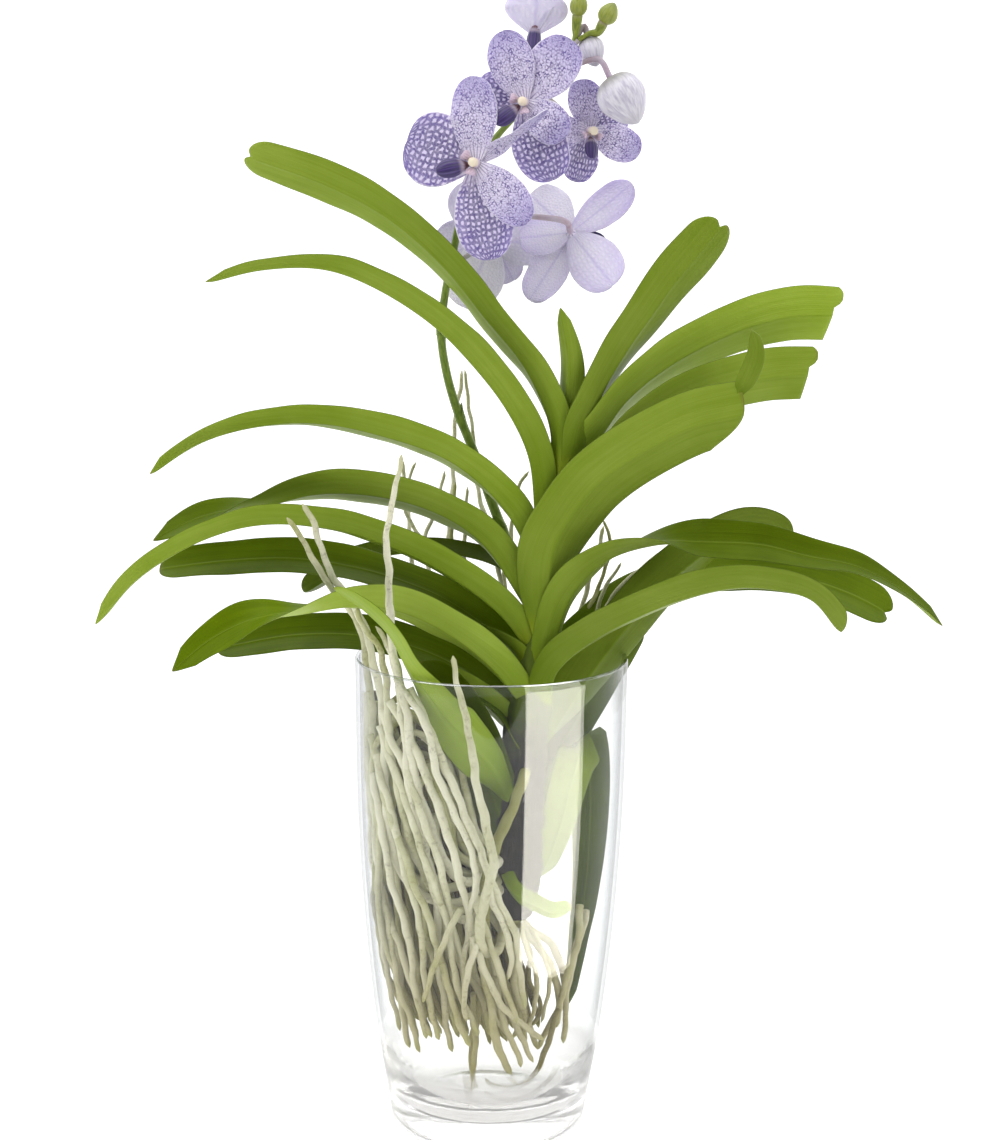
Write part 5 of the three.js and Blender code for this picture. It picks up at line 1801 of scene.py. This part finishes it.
@dataclass
class Bloom:
    """One flower: its centre, the way it faces, where its stalk leaves the spike, and its tepals."""

    name: str
    centre: Point
    facing: Point
    stalk: float
    sepals: list[tuple[float, ...]]
    petals: list[tuple[float, ...]]
    lip_angle: float
    lip_length: float
    lip_lean: Pair = (62.0, 2.0)
    lip_breadth: float = 0.54

    HUB_RADIUS = 2.9 * MM
    HUB_ENDS = (-4 * MM, 2.6 * MM)
    COLUMN_LENGTH = 7.2 * MM
    COLUMN_RADIUS = 2.9 * MM
    EAR_ANGLE = 58
    EAR_LEAN = (70.0, 50.0)
    UPRIGHT = -0.75  # the cosine of the angle from the lip, below which a sepal is the upright one

    def tepals(self) -> list[Tepal]:
        """The sepals, then the petals."""
        rows = [(Kind.SEPAL, row) for row in self.sepals] + [(Kind.PETAL, row) for row in self.petals]
        return [Tepal(kind, *row[:3], row[3:5], *row[5:]) for kind, row in rows]

    def finish_of(self, tepal: Tepal) -> int:
        """The number of a tepal's material, which nets the side sepals widely and the others finely."""
        upright = math.cos(math.radians(tepal.angle - self.lip_angle)) < self.UPRIGHT
        return (Part.NETTED if tepal.kind is Kind.SEPAL and not upright else Part.SPECKLED).value

    def peg(self, skin: Skin, ends: Pair, radii: Array, sides: int, finish: int) -> None:
        """Adds a round peg along the way the bloom faces.

        Args:
            skin: The skin that it joins.
            ends: Where it starts and ends, before the bloom's centre.
            radii: The radius at each of its stations.
            sides: How many sides it has.
            finish: The number of its material.
        """
        facing = unit(self.facing)
        reach = np.linspace(ends[0], ends[1], len(radii))
        places = np.array(self.centre) + facing * reach[:, None]
        skin.tube(places, np.tile(facing, (len(radii), 1)), radii, sides, finish=finish)

    def build_tepals(self, finishes: Materials, rng: Random) -> None:
        """Makes the five tepals, joined at their hub.

        Args:
            finishes: Their materials, in the order of Part.
            rng: Where their ruffles and tints are drawn from.
        """
        skin = Skin(self.name + "_tepals_fine")
        for tepal in self.tepals():
            tepal.grow(skin, self, rng, self.finish_of(tepal))
        shape = self.HUB_RADIUS * rounded(np.abs(np.linspace(-1, 1, 14)), 0.02, 4)
        self.peg(skin, self.HUB_ENDS, shape, 20, Part.PALE.value)
        skin.piece(finishes, self.name + "_tepals")

    def build_lip(self, finishes: Materials, rng: Random) -> None:
        """Makes the lip's long middle lobe, and the small lobes at either side of its foot.

        Args:
            finishes: The materials of the middle lobe and of the small ones.
            rng: Where their tints are drawn from.
        """
        skin = Skin(self.name + "_lip_fine")
        length = self.lip_length
        lip = Tepal(Kind.LIP, self.lip_angle, length, self.lip_breadth * length, self.lip_lean)
        lip.grow(skin, self, rng, 0)
        for side in (-self.EAR_ANGLE, self.EAR_ANGLE):
            ear = Tepal(Kind.LIP, self.lip_angle + side, 0.34 * length, 0.3 * length, self.EAR_LEAN)
            ear.grow(skin, self, rng, 1)
        skin.piece(finishes, self.name + "_lip")

    def build_column(self, finish: Material) -> None:
        """Makes the short column with its rounded cap and the hollow under it.

        Args:
            finish: Its material.
        """
        t = np.linspace(0, 1, 26)
        waist = 1 - 0.22 * smooth(t, 0.0, 0.45) + 0.16 * smooth(t, 0.5, 0.75)
        dome = rounded((t - 0.72) / 0.28, 0.02)
        ends = (self.HUB_ENDS[1] - 0.6 * MM, self.HUB_ENDS[1] + self.COLUMN_LENGTH)
        skin = Skin(self.name + "_column_fine")
        self.peg(skin, ends, self.COLUMN_RADIUS * waist * dome, 22, 0)
        self._hollow(skin)
        skin.piece([finish], self.name + "_column")

    def _hollow(self, skin: Skin) -> None:
        """Presses a hollow into the side that looks to the lip, and marks it as the throat.

        Args:
            skin: The column's skin.
        """
        facing = unit(self.facing)
        angle = math.radians(self.lip_angle)
        down = np.array([math.sin(angle), 0.0, math.cos(angle)])
        down = unit(down - facing * (down @ facing))
        points, lay = skin.points[-1], skin.lay[-1]
        offset = points - np.array(self.centre)
        ahead = offset @ facing
        sideways = offset - facing * ahead[:, None]
        below = (unit(sideways) @ down) * (np.linalg.norm(sideways, axis=1) > 0.4 * MM)
        middle = self.HUB_ENDS[1] + 0.45 * self.COLUMN_LENGTH
        depth = smooth(below, 0.35, 0.95) * (1 - smooth(np.abs(ahead - middle), 1.2 * MM, 2.8 * MM))
        points -= sideways * (0.45 * depth)[:, None]
        lay[:, 2] = 1 - depth


@dataclass
class Bud:
    """One bud: its centre, the way it points, its size, and where its stalk leaves the spike."""

    name: str
    centre: Point
    points: Point
    length: float
    radius: float
    stalk: float
    pale: bool

    ROWS = 44
    SIDES = 60
    PROFILE = ((0.0, 0.0), (0.62, 0.07), (0.96, 0.27), (1.0, 0.48), (0.68, 0.78), (0.3, 0.94), (0.0, 1.0))

    def build(self, finish: Material) -> None:
        """Makes the bud: sepals closed over each other, with a seam between each pair.

        Args:
            finish: Its material.
        """
        heights = 0.5 - 0.5 * np.cos(np.linspace(0.02, 0.995, self.ROWS) * math.pi)
        profile = Course([(r, 0.0, h) for r, h in self.PROFILE]).places
        radii = np.interp(heights, profile[:, 2], profile[:, 0]) * self.radius
        way = unit(self.points)
        first, second = carried_frames(way[None])
        angles = 2 * math.pi * np.arange(self.SIDES) / self.SIDES
        seams = 1 - np.abs(np.sin(1.5 * angles + 0.4)) ** 0.35
        depth = seams * smooth(heights, 0.05, 0.4)[:, None]
        overlap = 0.05 * np.sin(1.5 * angles + 0.4) * smooth(heights, 0.3, 0.8)[:, None]
        swell = radii[:, None] * (1 - 0.07 * depth + overlap * 0.6)
        ring = np.cos(angles)[:, None] * first + np.sin(angles)[:, None] * second
        lean = 0.12 * self.radius * np.sin(math.pi * heights)[:, None, None] * second
        axis = np.array(self.centre) + way * ((heights - 0.5) * self.length)[:, None]
        surface = axis[:, None] + ring * swell[..., None] + lean
        ends = axis[[0, -1]] + way * np.array([[-0.2], [0.2]]) * MM
        across = (angles / math.pi - 1) * self.radius * np.ones_like(depth)
        skin = Skin(self.name + "_fine")
        skin.rings(surface, ends, across, 1 - depth, heights, self.length)
        skin.piece([finish], self.name)


# Each sepal and petal: its angle, length and width, and its lean at the foot and at the tip.
BLOOMS = [
    Bloom(
        "bloom_1", (-0.011, -0.012, 0.571), (-0.25, -0.95, 0.1), stalk=0.76,
        sepals=[(53, 0.05, 0.013, 8, -4, 84), (171, 0.054, 0.034, 6, -8), (287, 0.042, 0.042, 6, -8)],
        petals=[(358, 0.048, 0.027, 10, -6), (136, 0.045, 0.024, 14, -2)],
        lip_angle=253, lip_length=0.02,
    ),
    Bloom(
        "bloom_2", (0.016, -0.002, 0.605), (-0.2, -0.96, 0.05), stalk=0.86,
        sepals=[(37.5, 0.043, 0.03, 4, -8), (160, 0.046, 0.032, 4, -8), (284, 0.03, 0.026, 2, -12)],
        petals=[(341.6, 0.041, 0.026, 12, -4), (129, 0.031, 0.023, 12, 2)],
        lip_angle=228, lip_length=0.019,
    ),
    Bloom(
        "bloom_3", (0.053, 0.016, 0.589), (0.3, -0.94, 0.05), stalk=0.9,
        sepals=[(355, 0.03, 0.022, 0, -12), (194, 0.029, 0.021, 0, -12), (66, 0.027, 0.02, -4, -22)],
        petals=[(111, 0.031, 0.021, 12, 0), (270, 0.028, 0.019, 4, -4)],
        lip_angle=186, lip_length=0.015,
    ),
    Bloom(
        "bloom_4", (0.044, 0.024, 0.531), (0.2, 0.9, -0.3), stalk=0.66,
        sepals=[(50.5, 0.045, 0.022, 8, -6), (140, 0.038, 0.031, 6, -6), (262, 0.03, 0.023, 0, -8)],
        petals=[(313, 0.035, 0.03, 14, 2), (215, 0.045, 0.024, 14, 4)],
        lip_angle=95, lip_length=0.018,
    ),
    Bloom(
        "bloom_5", (-0.002, 0.046, 0.526), (-0.25, 0.95, 0.1), stalk=0.58,
        sepals=[(203, 0.043, 0.036, 6, -6), (95, 0.036, 0.028, 6, 4), (330, 0.038, 0.028, 6, -4)],
        petals=[(150, 0.03, 0.023, 16, 8), (268, 0.032, 0.024, 16, 8)],
        lip_angle=20, lip_length=0.017,
    ),
    Bloom(
        "bloom_6", (0.0215, 0.022, 0.645), (0.1, 0.35, 0.93), stalk=0.94,
        sepals=[(352, 0.0088, 0.036, 40, 72), (98, 0.023, 0.024, 46, 70), (255, 0.023, 0.024, 46, 70)],
        petals=[(160, 0.011, 0.022, 70, 62), (200, 0.011, 0.022, 70, 62)],
        lip_angle=4, lip_length=0.006, lip_lean=(-88.0, -84.0), lip_breadth=1.35,
    ),
]

BUDS = [
    Bud("bud_1", (0.072, 0.002, 0.6065), (0.52, -0.25, -0.82), 0.031, 0.0138, stalk=0.93, pale=True),
    Bud("bud_2", (0.054, 0.016, 0.6335), (0.3, -0.2, -0.93), 0.0175, 0.0076, stalk=0.96, pale=True),
    Bud("bud_3", (0.063, 0.012, 0.655), (0.5, -0.1, 0.86), 0.013, 0.0056, stalk=1.0, pale=False),
    Bud("bud_4", (0.046, 0.012, 0.66), (0.1, -0.1, 1.0), 0.014, 0.005, stalk=0.98, pale=False),
]


@dataclass
class Spike:
    """The flower spike: its stalk with small bracts, and a flower stalk to each bloom and bud."""

    line: tuple[Point, ...] = (
        (0.03, 0.003, 0.322), (0.018, 0.016, 0.332), (0.008, 0.023, 0.352), (-0.001, 0.026, 0.374),
        (-0.01, 0.027, 0.399), (-0.022, 0.028, 0.429), (-0.028, 0.028, 0.45), (-0.031, 0.028, 0.471),
        (-0.029, 0.028, 0.495), (-0.024, 0.027, 0.521), (-0.015, 0.023, 0.561), (-0.001, 0.02, 0.584),
        (0.019, 0.017, 0.606), (0.035, 0.014, 0.626), (0.046, 0.012, 0.64),
    )
    radii: Pair = (3.2 * MM, 1.5 * MM)
    stalk_radii: Pair = (1.3 * MM, 1.1 * MM)
    gap: float = 0.35 * MM
    bract_nodes: tuple[float, ...] = (0.14, 0.33, 0.47)
    node_length: float = 0.008
    bract_length: float = 9 * MM
    flower_bract_length: float = 5 * MM
    steps: int = 150
    seed: int = 5

    BRACT_TURNS = (70.0, 140.0)  # of the first bract, and from each to the next
    BRACT_WRAP = 105.0

    def stalk(self, skin: Skin, course: Course, start: float, end: Array, way: Array, finish: int) -> None:
        """Adds the stalk from the spike to the back of a flower or the foot of a bud.

        Args:
            skin: The skin that it joins.
            course: The spike's course.
            start: Where on the spike it leaves.
            end: Where it ends.
            way: The way that the flower or bud points.
            finish: The number of its material.
        """
        foot = course.at(start)
        approach = end - way * (0.35 * np.linalg.norm(end - foot))
        leave = (foot + approach) / 2 + course.heading(start) * 2 * MM
        line = Course([foot, leave, approach, end + way * self.gap * 2])
        t = np.linspace(0, 1, 30)
        swell = 1 + (0.55 if finish == 1 else 1.5) * smooth(t, 0.2, 0.95)
        radii = mixed(self.stalk_radii[0], self.stalk_radii[1], t) * swell
        skin.tube(line.at(t), line.heading(t), radii, 18, finish=finish, flutes=(6, 0.07))

    def bract(self, skin: Skin, course: Course, start: float, length: float, turn: float) -> None:
        """Adds one small scale that clasps the spike.

        Args:
            skin: The skin that it joins.
            course: The spike's course.
            start: Where on the spike it sits.
            length: How long it is.
            turn: Which side it is on, in degrees.
        """
        s = np.linspace(0, 1, 14)[:, None] * np.ones(11)
        u = np.linspace(1, -1, 11) * np.ones_like(s)
        shares = start + s * length / course.length
        heading = course.heading(shares)
        first = unit(np.cross(heading, (0.0, 1.0, 0.0)))
        second = np.cross(heading, first)
        wrap = math.radians(turn) + u * math.radians(self.BRACT_WRAP) * (1 - s) ** 0.8
        radius = mixed(self.radii[0], self.radii[1], shares) + (0.35 + 1.3 * s**2) * MM
        ring = first * np.cos(wrap)[..., None] + second * np.sin(wrap)[..., None]
        middle = course.at(shares) + ring * radius[..., None]
        half = 0.3 * MM * rounded(np.abs(u), power=6) * (1 - 0.8 * s)
        skin.sheet(middle, ring, half, u * radius, s * length, (u, s * 0.5), 0.4)

    def build(self, blooms: Sequence[Bloom], buds: Sequence[Bud], finishes: Materials) -> None:
        """Makes the spike.

        Args:
            blooms: The flowers that it carries.
            buds: The buds that it carries.
            finishes: The materials of the spike, of the flower stalks and of the green buds' stalks.
        """
        rng = np.random.default_rng(self.seed)
        course = Course(self.line)
        t = np.linspace(0, 1, self.steps)
        nodes = [*self.bract_nodes, *(bloom.stalk for bloom in blooms)]
        swell = sum(np.exp(-(((t - node) / self.node_length) ** 2)) for node in nodes)
        radii = mixed(self.radii[0], self.radii[1], t) * (1 + 0.16 * swell + 0.02 * waves(rng, t, (7, 13)))
        skin = Skin("flower_spike_fine")
        skin.tube(course.at(t), course.heading(t), radii, 20, flutes=(5, 0.03))
        for k, node in enumerate(self.bract_nodes):
            turn = self.BRACT_TURNS[0] + k * self.BRACT_TURNS[1]
            self.bract(skin, course, node, self.bract_length, turn)
        for bloom in blooms:
            way = unit(bloom.facing)
            self.stalk(skin, course, bloom.stalk, np.array(bloom.centre) + way * Bloom.HUB_ENDS[0], way, 1)
            turn = 90.0 if bloom.facing[1] < 0 else 270.0
            self.bract(skin, course, bloom.stalk, self.flower_bract_length, turn)
        for bud in buds:
            way = unit(bud.points)
            foot = np.array(bud.centre) - way * (bud.length / 2)
            self.stalk(skin, course, bud.stalk, foot, way, 1 if bud.pale else 2)
        skin.piece(finishes, "flower_spike")


# ---- studio


@dataclass(frozen=True)
class SoftLight:
    """A rectangular soft light: where the middle of its face is, what it looks at, and its size.

    radiance is how bright its face is, where a white surround is 1.
    """

    name: str
    place: Point
    aim: Point
    size: Pair
    radiance: float

    def build(self) -> bpy.types.Object:
        """Adds the light.

        Returns:
            The light.
        """
        data = bpy.data.lights.new(self.name, "AREA")
        data.shape = "RECTANGLE"
        data.size, data.size_y = self.size
        data.energy = self.radiance * math.pi * self.size[0] * self.size[1]
        light = bpy.data.objects.new(self.name, data)
        light.location = self.place
        light.rotation_euler = (Vector(self.aim) - Vector(self.place)).to_track_quat("-Z", "Y").to_euler()
        light.visible_camera = False
        bpy.context.scene.collection.objects.link(light)
        return light


@dataclass
class Studio:
    """The pale floor, the soft lights and the camera."""

    camera_place: Point = (0.0045, -1.4, 0.59)
    pitch_down: float = 10.23
    roll: float = 0.53
    lens: float = 77.15
    film_height: float = 36.0
    surround: float = 1.4
    surround_front: float = 0.25
    surround_turn: Pair = (-0.35, 0.15)
    floor_colour: Paint = (0.9, 0.9, 0.9, 1.0)
    floor_glow: float = 0.3
    floor_half: float = 1.0
    lights: tuple[SoftLight, ...] = (
        SoftLight("key_right", (1.5, -1.1, 1.3), (0.0, 0.0, 0.3), (1.4, 1.4), 2.1),
        SoftLight("key_left", (-1.4, -1.3, 1.5), (0.0, 0.0, 0.3), (1.4, 1.4), 3.4),
        SoftLight("overhead", (0.0, -0.2, 2.3), (0.0, 0.0, 0.4), (1.8, 1.8), 1.4),
    )
    card: SoftLight = SoftLight("card", (0.202, -0.173, 0.125), (0.0, -0.02, 0.125), (0.236, 0.25), 14.5)
    card_colour: Point = (1.0, 0.965, 0.85)

    def build_camera(self) -> None:
        """Makes the camera and hands it to the scene."""
        data = bpy.data.cameras.new("camera")
        data.sensor_fit = "VERTICAL"
        data.sensor_height = self.film_height
        data.lens = self.lens
        camera = bpy.data.objects.new("camera", data)
        bpy.context.scene.collection.objects.link(camera)
        turn = Matrix.Rotation(math.radians(90 - self.pitch_down), 4, "X")
        roll = Matrix.Rotation(math.radians(self.roll), 4, "Z")
        camera.matrix_world = Matrix.Translation(self.camera_place) @ turn @ roll
        bpy.context.scene.camera = camera

    def build_card(self, glass: bpy.types.Object) -> None:
        """Makes the warm card that only the glass mirrors, as one upright strip.

        Args:
            glass: The vase.
        """
        card = self.card.build()
        card.data.color = self.card_colour
        card.visible_transmission = False
        card.visible_diffuse = False
        only = bpy.data.collections.new("mirrors_the_card")
        only.objects.link(glass)
        card.light_linking.receiver_collection = only

    def build_world(self) -> None:
        """Makes the surround: white to see, and dimmer from the front, so that glass shows its edges."""
        g = Graph("surround", surround=True)
        front = g.parts(g.node("TexCoord").outputs["Generated"])[1]
        inputs = dict(enumerate((front, *self.surround_turn, self.surround_front, self.surround)))
        ramp = g.node("MapRange", inputs, interpolation_type="SMOOTHSTEP").outputs[0]
        strength = g.math("MAXIMUM", ramp, g.node("LightPath").outputs["Is Camera Ray"])
        background = g.node("Background", {"Color": (1.0, 1.0, 1.0, 1.0), "Strength": strength})
        g.node("OutputWorld", {0: background.outputs[0]})
        bpy.context.scene.world = g.owner

    def build_floor(self) -> None:
        """Makes the pale floor."""
        h = self.floor_half
        mesh = bpy.data.meshes.new("floor")
        mesh.from_pydata([(-h, -h, 0), (h, -h, 0), (h, h, 0), (-h, h, 0)], [], [(0, 1, 2, 3)])
        glow = {"Emission_Color": self.floor_colour, "Emission_Strength": self.floor_glow}
        pale = Graph("pale_floor").finish(self.floor_colour, 0.9, None, Specular_IOR_Level=0.1, **glow)
        mesh.materials.append(pale)
        floor = bpy.data.objects.new("floor", mesh)
        bpy.context.scene.collection.objects.link(floor)

    def build(self) -> None:
        """Sets up the whole studio, but for the card."""
        bpy.context.scene.view_settings.view_transform = "Standard"
        self.build_camera()
        self.build_world()
        self.build_floor()
        for light in self.lights:
            light.build()


# ---- assembly


def build_flowers() -> None:
    """Makes the spike, the blooms and the buds."""
    grown = SpikeFinish()
    young = SpikeFinish(green=srgb(138, 150, 50), deep=srgb(104, 120, 34), flush=srgb(138, 150, 50))
    stalks = [grown.material("spike_green", 0.0), grown.material("stalk_violet", 0.45)]
    Spike().build(BLOOMS, BUDS, [*stalks, young.material("stalk_green", 0.0)])
    finishes = [
        TepalFinish("petal_wide_net", 11.5, 3.1 * MM, 0.24, 0.5, blush=0.2),
        TepalFinish("petal_fine_net", 15.0, 1.7 * MM, 0.22, 1.0, faintest=0.4, blush=0.4, broken=0.75),
        TepalFinish("petal_hub", 6.0, 3.0 * MM, 0.02, 1.0),
    ]
    petals = [finish.material() for finish in finishes]
    side_lobes = LipFinish("pale_lobes", srgb(212, 190, 206), srgb(184, 150, 182), srgb(226, 212, 216))
    lip = [LipFinish().material(), side_lobes.material()]
    column = ColumnFinish().material()
    for k, bloom in enumerate(BLOOMS):
        rng = np.random.default_rng(FLOWER_SEED + k)
        bloom.build_tepals(petals, rng)
        bloom.build_lip(lip, rng)
        bloom.build_column(column)
    pale = BudFinish(
        "bud_pale", skin=srgb(222, 219, 228), shade=srgb(184, 178, 196), seam=srgb(104, 104, 92),
        # The pale bud's dark olive foot is painted shade under its stalk.
        tip=srgb(176, 172, 180), foot=srgb(112, 112, 92),
    ).material()
    green = BudFinish(
        "bud_green", skin=srgb(150, 158, 66), shade=srgb(120, 132, 46), seam=srgb(84, 96, 30),
        tip=srgb(110, 122, 56), foot=srgb(140, 150, 52),
    ).material()
    for bud in BUDS:
        bud.build(pale if bud.pale else green)


def main() -> None:
    """Builds the studio and every piece in order."""
    logging.basicConfig(level=logging.INFO, format="%(name)s: %(message)s")
    studio = Studio()
    studio.build()
    vase = Vase()
    # The rim's grey see-through tint is painted shade, which draws the rim as a thin grey line.
    rim = WallFinish("clear_glass_rim", clear=(0.72, 0.74, 0.73, 1.0), mirrored=0.25)
    studio.build_card(vase.build([WallFinish().material(), FootFinish().material(), rim.material()]))
    roots = RootMass(vase)
    roots.build_stem(StemFinish().material())
    roots.build_roots(RootFinish().material())
    leaf_green = LeafFinish().material()
    for k, leaf in enumerate(LEAVES):
        leaf.build(leaf_green, LEAF_SEED + k)
    build_flowers()


if __name__ == "__main__":
    main()
